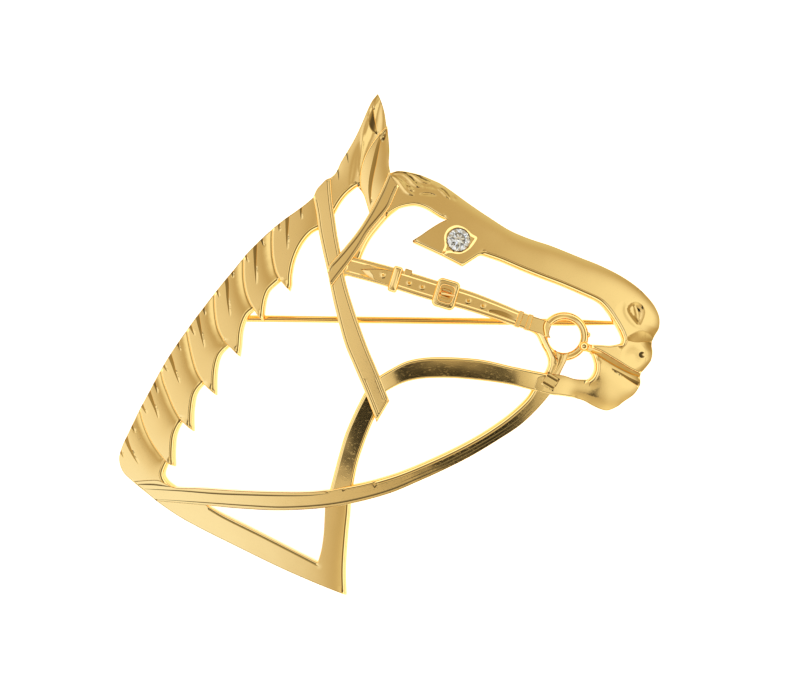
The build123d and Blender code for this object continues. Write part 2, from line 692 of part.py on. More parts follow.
def main():
    """Build every node and write it to its file."""
    os.makedirs("parts", exist_ok=True)
    nodes = {
        "horse_head": head(),
        "eye_stone": stone(),
        "pin_stem": pin_stem(),
        "hinge_rivet": hinge_rivet(),
    }
    placed, shift = laid_down(nodes)
    for name, solid in placed.items():
        export_step(solid, os.path.join("parts", name + ".step"))
        print(name, "solids", len(solid.solids()), "volume", round(solid.volume, 2))
    print("rest tilt", round(rest_tilt(), 4), "shift", shift.position)
    print("hinge at", (shift * Rot(rest_tilt(), 0, 0) * Pos(pin_plane().origin)).position)


main()
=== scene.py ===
"""Looks of the horse head brooch: its pierced gold head, the stone in its eye and its wire pin."""

import json
import logging
import math
from dataclasses import dataclass, field
from enum import Enum
from functools import cached_property

import bmesh
import bpy
import numpy as np
from mathutils import Matrix, Vector
from mathutils.geometry import delaunay_2d_cdt

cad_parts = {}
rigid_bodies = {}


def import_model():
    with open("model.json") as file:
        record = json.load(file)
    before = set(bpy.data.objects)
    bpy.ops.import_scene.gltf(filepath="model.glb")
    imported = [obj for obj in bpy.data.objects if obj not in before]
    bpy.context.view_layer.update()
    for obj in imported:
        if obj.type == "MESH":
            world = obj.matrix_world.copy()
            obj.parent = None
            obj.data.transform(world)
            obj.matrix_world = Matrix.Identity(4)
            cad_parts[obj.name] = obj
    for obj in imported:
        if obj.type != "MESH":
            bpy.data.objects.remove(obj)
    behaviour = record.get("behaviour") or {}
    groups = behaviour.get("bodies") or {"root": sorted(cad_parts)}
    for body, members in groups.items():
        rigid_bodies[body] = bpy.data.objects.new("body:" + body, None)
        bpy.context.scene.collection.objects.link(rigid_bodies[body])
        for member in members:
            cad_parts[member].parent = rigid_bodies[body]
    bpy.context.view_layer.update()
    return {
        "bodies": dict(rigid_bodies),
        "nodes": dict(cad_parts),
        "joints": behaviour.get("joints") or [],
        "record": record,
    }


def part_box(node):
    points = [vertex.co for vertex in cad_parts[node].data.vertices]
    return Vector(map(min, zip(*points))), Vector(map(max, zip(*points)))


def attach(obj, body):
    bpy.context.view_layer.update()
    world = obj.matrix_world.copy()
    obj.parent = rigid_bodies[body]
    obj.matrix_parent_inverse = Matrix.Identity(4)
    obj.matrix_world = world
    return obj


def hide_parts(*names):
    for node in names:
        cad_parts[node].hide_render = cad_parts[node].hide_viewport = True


log = logging.getLogger("horse_brooch")

MM = 0.001

# The picture grid: the head is PICTURE_SPAN columns wide round PICTURE_MIDDLE, and the camera
# looks at CAMERA_AIM in a picture of PICTURE_SIZE
PICTURE_SPAN = 540.0
PICTURE_MIDDLE = (389.5, 344.5)
PICTURE_SIZE = (800, 698)
CAMERA_AIM = (400.0, 349.0)
HINGE_AT = (228.0, 317.8)
CATCH_AT = (634.0, 322.8)
EYE_AT = (458.5, 240.0)
PIN_DEPTH = 1.5

# How finely edges and rolled rims are drawn, in millimetres and counts
LINE_STEP = 0.28
RIM_STEPS = 8
SMALL_RIM = 0.1
SMALL_RIM_STEPS = 3
RIM_SUPPORT = 0.05
RIM_SLACK = 0.004
CLEAR_OF_LINES = 0.07
FINE_GRID = 0.13
GRID_ROW = 0.866
ARC_STEPS = 25
CORNER_STEPS = 6
TUBE_STEP = 0.15

# How marks and hollows are meshed: marks wider than FINE_MARK and pools with a rim narrower
# than BROAD_RIM get the fine grid, and a rim narrower than SHARP_RIM is a straight wall
FINE_MARK = 0.3
MARK_REACH = 0.6
SHARP_RIM = 0.5
BROAD_RIM = 1.0
SCOOP_WALL = 0.05
SLOPE_GUIDES = (0.25, 0.6, 1.2)
DIMPLE_GUIDES = (0.02, 0.35, 0.7, 1.0)
DIMPLE_SIDES = 12
DIMPLE_REACH = 1.1
THINNEST = 0.2

# Smallest lengths that count, squares of them, and the most points measured at once
TINY = 1e-9
TINY_SQUARE = 1e-12
TINY_WIDTH = 1e-6
SAME_SPOT = 1e-4
FRONT_WELD = 1e-6
BACK_WELD = 1e-7
BLOCK = 2000

SHARP_ANGLE = math.radians(12)
PIN_SHARP_ANGLE = math.radians(35)

# Knots between which each blend of a curve through four points runs, for its three rounds
CURVE_ROUNDS = (((0, 1), (1, 2), (2, 3)), ((0, 2), (1, 3)), ((1, 2),))

Pair = tuple[float, float]
Spot = Pair
Spots = list[Spot]
Points = np.ndarray
Socket = bpy.types.NodeSocket


class Edge(Enum):
    """How far an edge of a plate is rolled over, as the radius of its rim in millimetres."""

    WALL = 0.58
    BEVEL = 0.38
    STRAP = 0.22
    ROLL = 0.08
    STEP = 0.07
    HIDDEN = 0.0


class Section(Enum):
    """Shape across an engraved or raised mark."""

    VEE = "vee"
    ROUND = "round"
    SCOOP = "scoop"


class Taper(Enum):
    """How a mark runs out along its line, and how full it stays on the way."""

    EVEN = 0.0
    POINTED_END = 0.8
    POINTED_BOTH = 0.7


@dataclass(frozen=True)
class Layout:
    """Where the picture's columns and rows lie on the flat head, and the flat head in the frame."""

    scale: float
    turn: Matrix

    @classmethod
    def from_frame(cls, frame: dict) -> "Layout":
        """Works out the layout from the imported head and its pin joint.


        Returns:
            The layout of this head.
        """
        low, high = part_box("horse_head")
        scale = (high.x - low.x) / MM / PICTURE_SPAN
        joint = frame["joints"][0]
        axis = Vector(joint["axis"])
        lean = Matrix.Rotation(math.atan2(axis.z, axis.y), 4, "X")
        hinge = cls(scale, lean).spot(HINGE_AT)
        carried = lean @ Vector((*hinge, -PIN_DEPTH)) * MM
        shift = Matrix.Translation(Vector(joint["pos_m"]) - carried)
        return cls(scale, shift @ lean @ Matrix.Scale(MM, 4))

    def flat(self, spots: Spots) -> Points:
        """Points of the flat head, in millimetres, for places on the picture grid."""
        places = np.array(spots, float) - PICTURE_MIDDLE
        return places * (self.scale, -self.scale)

    def spot(self, at: Spot) -> Points:
        """Point of the flat head for one place on the picture grid."""
        return self.flat([at])[0]


def smooth_line(points: Points, step: float = LINE_STEP) -> Points:
    """Smooth curve through points, as close steps along it.

    Args:
        points: the points that it passes through.
        step: the longest step between two points of the result.

    Returns:
        The points along the curve, its two ends included.
    """
    points = np.asarray(points, float)
    ends = np.vstack([2 * points[0] - points[1], points, 2 * points[-1] - points[-2]])
    line = [points[0]]
    for before, start, end, after in zip(ends, ends[1:], ends[2:], ends[3:]):
        spans = ((before, start), (start, end), (end, after))
        roots = [max(np.linalg.norm(b - a), TINY) ** 0.5 for a, b in spans]
        knots = np.cumsum([0.0] + roots)
        count = max(1, math.ceil(np.linalg.norm(end - start) / step))
        for place in np.linspace(knots[1], knots[2], count + 1)[1:]:
            line.append(on_curve((before, start, end, after), knots, place))
    return np.array(line)


def on_curve(points: tuple, knots: Points, place: float) -> Points:
    """Point of a smooth curve through four points.

    Args:
        points: the four points.
        knots: where the curve passes them.
        place: where the point lies, between the two inner knots.

    Returns:
        The point.
    """
    level = list(points)
    for spans in CURVE_ROUNDS:
        level = [((knots[high] - place) * before + (place - knots[low]) * after)
                 / (knots[high] - knots[low])
                 for (low, high), before, after in zip(spans, level, level[1:])]
    return level[0]


def side_of(points: Points, line: Points) -> Points:
    """Signed distance of each point from a line.

    Args:
        points: the points to measure.
        line: the line's points.

    Returns:
        The distances, above zero to the left of the line.
    """
    found = np.empty(len(points))
    start, span = line[:-1], line[1:] - line[:-1]
    squares = np.maximum((span ** 2).sum(1), TINY_SQUARE)
    for index, point in enumerate(points):
        reach = point - start
        along = np.clip((reach * span).sum(1) / squares, 0, 1)
        away = reach - along[:, None] * span
        gap = (away ** 2).sum(1)
        best = gap.argmin()
        turn = span[best, 0] * reach[best, 1] - span[best, 1] * reach[best, 0]
        found[index] = math.copysign(math.sqrt(gap[best]), turn)
    return found


def distance_to(points: Points, line: Points) -> tuple[Points, Points]:
    """Distance of each point from a line, and how far along the line its nearest place is.

    Args:
        points: the points to measure.
        line: the line's points.

    Returns:
        The distances, and the shares of the line's length.
    """
    start, span = line[:-1], line[1:] - line[:-1]
    squares = np.maximum((span ** 2).sum(1), TINY_SQUARE)
    lengths = np.sqrt(squares)
    before = np.concatenate([[0.0], np.cumsum(lengths)[:-1]])
    gaps, shares = [], []
    for block in np.array_split(points, max(1, len(points) // BLOCK)):
        reach = block[:, None, :] - start[None]
        along = np.clip((reach * span).sum(2) / squares, 0, 1)
        gap = ((reach - along[..., None] * span) ** 2).sum(2)
        best = gap.argmin(1)
        rows = np.arange(len(block))
        gaps.append(np.sqrt(gap[rows, best]))
        shares.append((before[best] + along[rows, best] * lengths[best]) / lengths.sum())
    return np.concatenate(gaps), np.concatenate(shares)


def inside(points: Points, loop: Points) -> Points:
    """Whether each point lies inside a closed loop.

    Args:
        points: the points to test.
        loop: the loop's corners in order.

    Returns:
        A true or false value for each point.
    """
    found = np.zeros(len(points), bool)
    for (ax, ay), (bx, by) in zip(loop, np.roll(loop, -1, axis=0)):
        if ay != by:
            level = (ay > points[:, 1]) != (by > points[:, 1])
            found ^= level & (points[:, 0] < (bx - ax) * (points[:, 1] - ay) / (by - ay) + ax)
    return found


def signed_area(loop: Points) -> float:
    """Area of a closed loop, above zero where it runs anticlockwise."""
    after = np.roll(loop, -1, axis=0)
    return float((loop[:, 0] * after[:, 1] - after[:, 0] * loop[:, 1]).sum() / 2)


def closed_line(loop: Points) -> Points:
    """A loop with its first point again at its end."""
    return np.vstack([loop, loop[:1]])


def offset_line(line: Points, gap: float) -> Points:
    """Line beside another, to its left for a gap above zero.

    Args:
        line: the line to follow.
        gap: the distance between the two, in millimetres.

    Returns:
        The points of the new line, one for each of the old.
    """
    ahead = np.gradient(line, axis=0)
    ahead /= np.maximum(np.linalg.norm(ahead, axis=1, keepdims=True), TINY)
    return line + np.column_stack([-ahead[:, 1], ahead[:, 0]]) * gap


def between(line: Points, start: float, end: float) -> Points:
    """Part of a line between two shares of its points."""
    last = len(line) - 1
    return line[round(start * last):round(end * last) + 1]


@dataclass(frozen=True)
class Side:
    """One side of a plate's outline, with the rim that it gets."""

    edge: Edge
    line: Points


@dataclass(frozen=True)
class Solid:
    """A closed mesh in the flat head's millimetres."""

    name: str
    points: Points
    faces: list

    def object(self) -> bpy.types.Object:
        """Makes the mesh an object in the scene.

        Returns:
            The object.
        """
        mesh = bpy.data.meshes.new(self.name)
        mesh.from_pydata([tuple(point) for point in self.points], [], self.faces)
        mesh.validate()
        shown = bpy.data.objects.new(self.name, mesh)
        bpy.context.scene.collection.objects.link(shown)
        return shown

    def moved(self, turn: Matrix) -> "Solid":
        """The same solid turned and shifted."""
        spots = [tuple(turn @ Vector(point)) for point in self.points]
        return Solid(self.name, np.array(spots), self.faces)


@dataclass(frozen=True)
class Tool:
    """A graver or punch, as the size and shape of the mark that it leaves."""

    width: float
    rise: float
    section: Section = Section.ROUND
    taper: Taper = Taper.POINTED_BOTH


@dataclass(frozen=True)
class Mark:
    """A line cut into a plate, or raised on it where its rise is above zero."""

    line: Points
    tool: Tool

    def spread(self, share: Points) -> Points:
        """How wide the mark is along its line.

        Args:
            share: shares of the line's length.

        Returns:
            The share of the full width at each.
        """
        if self.tool.taper is Taper.POINTED_END:
            return np.clip(1 - share, 0, 1) ** self.tool.taper.value
        if self.tool.taper is Taper.POINTED_BOTH:
            return np.clip(4 * share * (1 - share), 0, 1) ** self.tool.taper.value
        return np.ones_like(share)

    def lift(self, points: Points) -> Points:
        """Height that the mark adds.

        Args:
            points: points of the plate.

        Returns:
            The height at each.
        """
        gap, share = distance_to(points, self.line)
        spread = self.spread(share)
        across = gap / np.maximum(self.tool.width / 2 * spread, TINY_WIDTH)
        if self.tool.section is Section.ROUND:
            shape = np.cos(np.clip(across, 0, 1) * math.pi) / 2 + 0.5
        else:
            shape = np.clip(1 - across, 0, 1)
        if self.tool.section is Section.SCOOP:
            near = across < 1
            ahead = np.zeros(len(points), bool)
            ahead[near] = side_of(points[near], self.line) > SCOOP_WALL / 2
            shape *= ~ahead
        return self.tool.rise * shape * spread

    def busy(self, points: Points) -> Points:
        """Whether each point needs a fine mesh."""
        near = distance_to(points, self.line)[0] < self.tool.width * MARK_REACH
        return near & (self.tool.width > FINE_MARK)

    def guides(self) -> list[Points]:
        """Lines that the mesh follows.

        Returns:
            The mark's own line and its two borders.
        """
        steps = np.linalg.norm(np.diff(self.line, axis=0), axis=1)
        share = np.concatenate([[0.0], np.cumsum(steps)]) / steps.sum()
        spread = self.spread(share)[:, None]
        half = self.tool.width / 2
        left = SCOOP_WALL if self.tool.section is Section.SCOOP else half
        borders = [offset_line(self.line, gap) for gap in (left, -half)]
        return [self.line] + [self.line + (border - self.line) * spread for border in borders]


@dataclass(frozen=True)
class Pool:
    """A sunk area inside a loop, or a raised one where its rise is above zero."""

    loop: Points
    rise: float
    rim: float

    def lift(self, points: Points) -> Points:
        """Height that the area adds.

        Args:
            points: points of the plate.

        Returns:
            The height at each.
        """
        gap, _ = distance_to(points, closed_line(self.loop))
        share = np.clip(gap / self.rim, 0, 1) * inside(points, self.loop)
        return self.rise * (share if self.rim < SHARP_RIM else share * share * (3 - 2 * share))

    def busy(self, points: Points) -> Points:
        """Whether each point needs a fine mesh."""
        gap, _ = distance_to(points, closed_line(self.loop))
        return (gap < self.rim + FINE_GRID) & (self.rim < BROAD_RIM)

    def guides(self) -> list[Points]:
        """Lines that the mesh follows.

        Returns:
            The loop, and the foot of its wall where that is straight.
        """
        closed = closed_line(self.loop)
        inward = self.rim if signed_area(self.loop) > 0 else -self.rim
        return [closed, offset_line(closed, inward)] if self.rim < SHARP_RIM else [closed]


@dataclass(frozen=True)
class Slope:
    """Height that grows with the distance from a line, quickly at first.

    The mesh follows it on one side of the line: 1 is the left, -1 the right, and 0 neither.
    """

    line: Points
    rise: float
    reach: float
    side: int = 0

    def lift(self, points: Points) -> Points:
        """Height that the slope adds at each point."""
        gap, _ = distance_to(points, self.line)
        return self.rise * (1 - np.exp(-gap / self.reach))

    def busy(self, points: Points) -> Points:
        """Whether each point needs a fine mesh."""
        return np.zeros(len(points), bool)

    def guides(self) -> list[Points]:
        """Lines that the mesh follows."""
        return [offset_line(self.line, self.side * share * self.reach)
                for share in SLOPE_GUIDES if self.side]


@dataclass(frozen=True)
class Dimple:
    """A round hollow, or a swelling where its rise is above zero."""

    centre: Points
    radius: float
    rise: float
    section: Section = Section.ROUND

    def lift(self, points: Points) -> Points:
        """Height that the dimple adds.

        Args:
            points: points of the plate.

        Returns:
            The height at each.
        """
        gap = np.clip(np.linalg.norm(points - self.centre, axis=1) / self.radius, 0, 1)
        cone = self.section is Section.VEE
        return self.rise * (1 - gap if cone else np.cos(gap * math.pi) / 2 + 0.5)

    def busy(self, points: Points) -> Points:
        """Whether each point needs a fine mesh."""
        return np.linalg.norm(points - self.centre, axis=1) < self.radius * DIMPLE_REACH

    def guides(self) -> list[Points]:
        """Circles that the mesh follows.

        Returns:
            The circles, from the middle out.
        """
        angles = np.linspace(0, 2 * math.pi, DIMPLE_SIDES + 1)
        ring = np.column_stack([np.cos(angles), np.sin(angles)])
        return [self.centre + ring * self.radius * share for share in DIMPLE_GUIDES]


@dataclass
class Plate:
    """A flat-backed plate with a rolled rim and marks on its front."""

    name: str
    sides: list[Side]
    top: float
    reliefs: list = field(default_factory=list)
    holes: list[list[Side]] = field(default_factory=list)
    grid: float = 0.6

    @cached_property
    def loops(self) -> list[Points]:
        """Joins the sides into closed loops.

        Returns:
            The outline of the plate and then of each hole.
        """
        found = []
        for sides in [self.sides] + self.holes:
            loop = [sides[0].line]
            for side in sides[1:] + sides[:1]:
                joined = np.linalg.norm(loop[-1][-1] - side.line[0]) < SAME_SPOT
                loop.append(side.line[1:] if joined else side.line)
            found.append(np.vstack(loop[:-1]))
            if np.linalg.norm(found[-1][0] - found[-1][-1]) < SAME_SPOT:
                found[-1] = found[-1][:-1]
        return found

    def rims(self) -> list[tuple[Side, float]]:
        """Finds the sides that are rolled over.

        Returns:
            Each such side, with 1 where the plate lies to its left and -1 to its right.
        """
        found = []
        for hole, (sides, loop) in enumerate(zip([self.sides] + self.holes, self.loops)):
            turn = 1 if signed_area(loop) > 0 else -1
            inward = turn if hole == 0 else -turn
            found += [(side, inward) for side in sides if side.edge.value > 0]
        return found

    def drop(self, points: Points) -> Points:
        """How far the rims lower the front.

        Args:
            points: points of the plate.

        Returns:
            The depth at each.
        """
        lowest = np.zeros(len(points))
        for side, _ in self.rims():
            radius = side.edge.value
            gap, _ = distance_to(points, side.line)
            reach = np.clip(radius - gap, 0, radius)
            lowest = np.maximum(lowest, radius - np.sqrt(radius ** 2 - reach ** 2))
        return lowest

    def height(self, points: Points) -> Points:
        """Height of the front.

        Args:
            points: points of the plate.

        Returns:
            The height at each.
        """
        level = np.full(len(points), self.top)
        for relief in self.reliefs:
            level += relief.lift(points)
        return np.maximum(level - self.drop(points), THINNEST)

    def guides(self) -> list[Points]:
        """Every line that the front's mesh follows.

        Returns:
            The loops, the lines beside the rims where there is room, and those of the reliefs.
        """
        lines = [closed_line(loop) for loop in self.loops]
        outline = list(lines)
        for side, inward in self.rims():
            radius = side.edge.value
            steps = RIM_STEPS if radius > SMALL_RIM else SMALL_RIM_STEPS
            gaps = [radius * (1 - math.sin(math.pi / 2 * step / steps))
                    for step in range(steps)] + [radius + RIM_SUPPORT]
            for gap in gaps:
                line = offset_line(side.line, inward * gap)
                room = np.min([distance_to(line, closed)[0] for closed in outline], axis=0)
                lines += kept_stretches(line, room > gap - RIM_SLACK)
        for relief in self.reliefs:
            lines += relief.guides()
        return lines

    def grid_points(self, lines: list[Points]) -> Points:
        """Even points over the front.

        Args:
            lines: the lines that they keep clear of.

        Returns:
            The points.
        """
        low, high = self.loops[0].min(0), self.loops[0].max(0)
        coarse = hex_points(low, high, self.grid)
        fine = hex_points(low, high, min(self.grid, FINE_GRID))
        coarse, fine = coarse[self.holds(coarse)], fine[self.holds(fine)]
        points = np.vstack([coarse[~self.busy(coarse)], fine[self.busy(fine)]])
        keep = np.ones(len(points), bool)
        for side, _ in self.rims():
            keep &= distance_to(points, side.line)[0] > side.edge.value + 2 * RIM_SUPPORT
        for line in lines:
            keep &= distance_to(points, line)[0] > CLEAR_OF_LINES
        return points[keep]

    def busy(self, points: Points) -> Points:
        """Whether a relief needs a fine mesh at each point."""
        found = [relief.busy(points) for relief in self.reliefs]
        return np.any([np.zeros(len(points), bool)] + found, axis=0)

    def in_hole(self, points: Points) -> Points:
        """Whether each point lies in a hole."""
        pierced = [inside(points, loop) for loop in self.loops[1:]]
        return np.any([np.zeros(len(points), bool)] + pierced, axis=0)

    def holds(self, points: Points) -> Points:
        """Whether each point lies on the plate and in no hole."""
        return inside(points, self.loops[0]) & ~self.in_hole(points)

    def solid(self) -> Solid:
        """Meshes the front, the walls and the back.

        Returns:
            The plate as a closed mesh.
        """
        lines = self.guides()
        spots, edges = [], []
        for line in lines:
            first = len(spots)
            spots += [Vector(point) for point in line]
            edges += [(first + index, first + index + 1) for index in range(len(line) - 1)]
        spots += [Vector(point) for point in self.grid_points(lines)]
        flat, front = self.front_faces(spots, edges)
        rim = border_edges(front)
        corners = sorted({corner for edge in rim for corner in edge})
        order = {corner: index for index, corner in enumerate(corners)}
        back = self.back_faces(flat[corners], [(order[a], order[b]) for a, b in rim])
        under = [tuple(len(flat) + corner for corner in face) for face in back]
        walls = [(len(flat) + order[a], len(flat) + order[b], b, a) for a, b in rim]
        tops = np.column_stack([flat, self.height(flat)])
        feet = np.column_stack([flat[corners], np.zeros(len(corners))])
        return Solid(self.name, np.vstack([tops, feet]), front + walls + under)

    def front_faces(self, spots: list, edges: list) -> tuple[Points, list]:
        """Triangles of the front.

        Args:
            spots: the points to join.
            edges: pairs of them that have to be edges.

        Returns:
            The points used and the triangles between them, facing up.
        """
        flat, _, faces, _, _, _ = delaunay_2d_cdt(spots, edges, [], 0, FRONT_WELD)
        flat = np.array([tuple(point) for point in flat])
        triangles = np.array([tuple(face) for face in faces])
        triangles = triangles[self.holds(flat[triangles].mean(1))]
        return flat, [tuple(int(corner) for corner in face) for face in triangles]

    def back_faces(self, corners: Points, edges: list) -> list:
        """Triangles of the flat back.

        Args:
            corners: the points of its border.
            edges: pairs of them that are the border.

        Returns:
            The triangles between the corners, facing down.
        """
        spots = [Vector(corner) for corner in corners]
        found, _, faces, same, _, _ = delaunay_2d_cdt(spots, edges, [], 1, BACK_WELD)
        flat = np.array([tuple(point) for point in found])
        pierced = self.in_hole(flat[np.array([tuple(face) for face in faces])].mean(1))
        return [tuple(same[corner][0] for corner in reversed(face))
                for face, open_here in zip(faces, pierced) if not open_here]


def hex_points(low: Points, high: Points, step: float) -> Points:
    """Points of an even triangular grid.

    Args:
        low: the grid's lower left corner.
        high: its upper right corner.
        step: distance between neighbours.

    Returns:
        The points.
    """
    rows = []
    for index, y in enumerate(np.arange(low[1], high[1], step * GRID_ROW)):
        xs = np.arange(low[0] + step / 2 * (index % 2), high[0], step)
        rows.append(np.column_stack([xs, np.full(len(xs), y)]))
    return np.vstack(rows)


def kept_stretches(line: Points, keep: Points) -> list[Points]:
    """The stretches of a line that are kept.

    Args:
        line: the line's points.
        keep: whether each is kept.

    Returns:
        The stretches of two points or more.
    """
    stretches, current = [], []
    for point, kept in zip(line, keep):
        if kept:
            current.append(point)
        elif current:
            stretches.append(current)
            current = []
    stretches.append(current)
    return [np.array(stretch) for stretch in stretches if len(stretch) > 1]


def border_edges(faces: list) -> list[tuple[int, int]]:
    """Edges that only one face has.

    Args:
        faces: the faces' corners.

    Returns:
        The edges, in their face's direction.
    """
    seen = set()
    for face in faces:
        for a, b in zip(face, face[1:] + face[:1]):
            seen.add((a, b))
    return [(a, b) for a, b in sorted(seen) if (b, a) not in seen]


def circle(centre: Points, radius: float, count: int) -> Points:
    """Closed round loop."""
    angles = np.linspace(0, 2 * math.pi, count, endpoint=False)
    return centre + radius * np.column_stack([np.cos(angles), np.sin(angles)])


def arc(centre: tuple, radius: float, start: float, end: float, count: int) -> Points:
    """Part of a circle between two angles in degrees."""
    angles = np.radians(np.linspace(start, end, count))
    return np.array(centre) + radius * np.column_stack([np.cos(angles), np.sin(angles)])


@dataclass(frozen=True)
class RoundedBox:
    """A rectangle with round corners, round the origin."""

    length: float
    span: float
    corner: float

    def loop(self) -> Points:
        """Draws its outline.

        Returns:
            The points of the closed loop.
        """
        points = []
        for index, (x, y) in enumerate(((1, 1), (-1, 1), (-1, -1), (1, -1))):
            centre = (x * (self.length / 2 - self.corner), y * (self.span / 2 - self.corner))
            points.append(arc(centre, self.corner, 90 * index, 90 * index + 90, CORNER_STEPS))
        return np.vstack(points)


def crown(sides: list[Side], rise: float, reach: float) -> list[Slope]:
    """Swelling of a plate away from its rolled outer sides."""
    return [Slope(side.line, rise, reach) for side in sides if side.edge is Edge.ROLL]


def closed_side(edge: Edge, loop: Points) -> Side:
    """A side that runs all the way round a loop."""
    return Side(edge, closed_line(loop))


@dataclass(frozen=True)
class Part:
    """A sub-assembly of the head, drawn on the picture grid."""

    layout: Layout

    def line(self, *spots: Spot) -> Points:
        """Smooth line through spots of the picture grid."""
        return smooth_line(self.layout.flat(list(spots)))

    def side(self, edge: Edge, *spots: Spot) -> Side:
        """One side of an outline through spots of the picture grid."""
        return Side(edge, self.line(*spots))

    def outline(self, *sides: tuple) -> list[Side]:
        """Sides of an outline, each given as its edge and its spots."""
        return [self.side(*side) for side in sides]

    def loop(self, *spots: Spot) -> Points:
        """Smooth closed loop through spots of the picture grid.

        Args:
            spots: columns and rows of the spots.

        Returns:
            The points of the loop.
        """
        closed = self.layout.flat([spots[-1], *spots, *spots[:2]])
        line = smooth_line(closed)
        first = int(np.argmin(np.linalg.norm(line - closed[1], axis=1)))
        last = int(np.argmin(np.linalg.norm(line[first + 2:] - closed[1], axis=1))) + first + 2
        return line[first:last]

    def plates(self) -> list[Plate]:
        """The flat pieces, where there are any."""
        return []

    def fittings(self) -> list[Solid]:
        """The pieces that aren't plates of the head's front, where there are any."""
        return []

    def solids(self) -> list[Solid]:
        """Every piece as a closed solid."""
        return [plate.solid() for plate in self.plates()] + self.fittings()


@dataclass(frozen=True)
class Lock:
    """One lock of the mane, from the border above it to its own border and pointed tooth."""

    crest: Spots
    border: Spots
    tooth: Spots
    edge: Spots
    groove: Spots
    nicks: list[Spots]


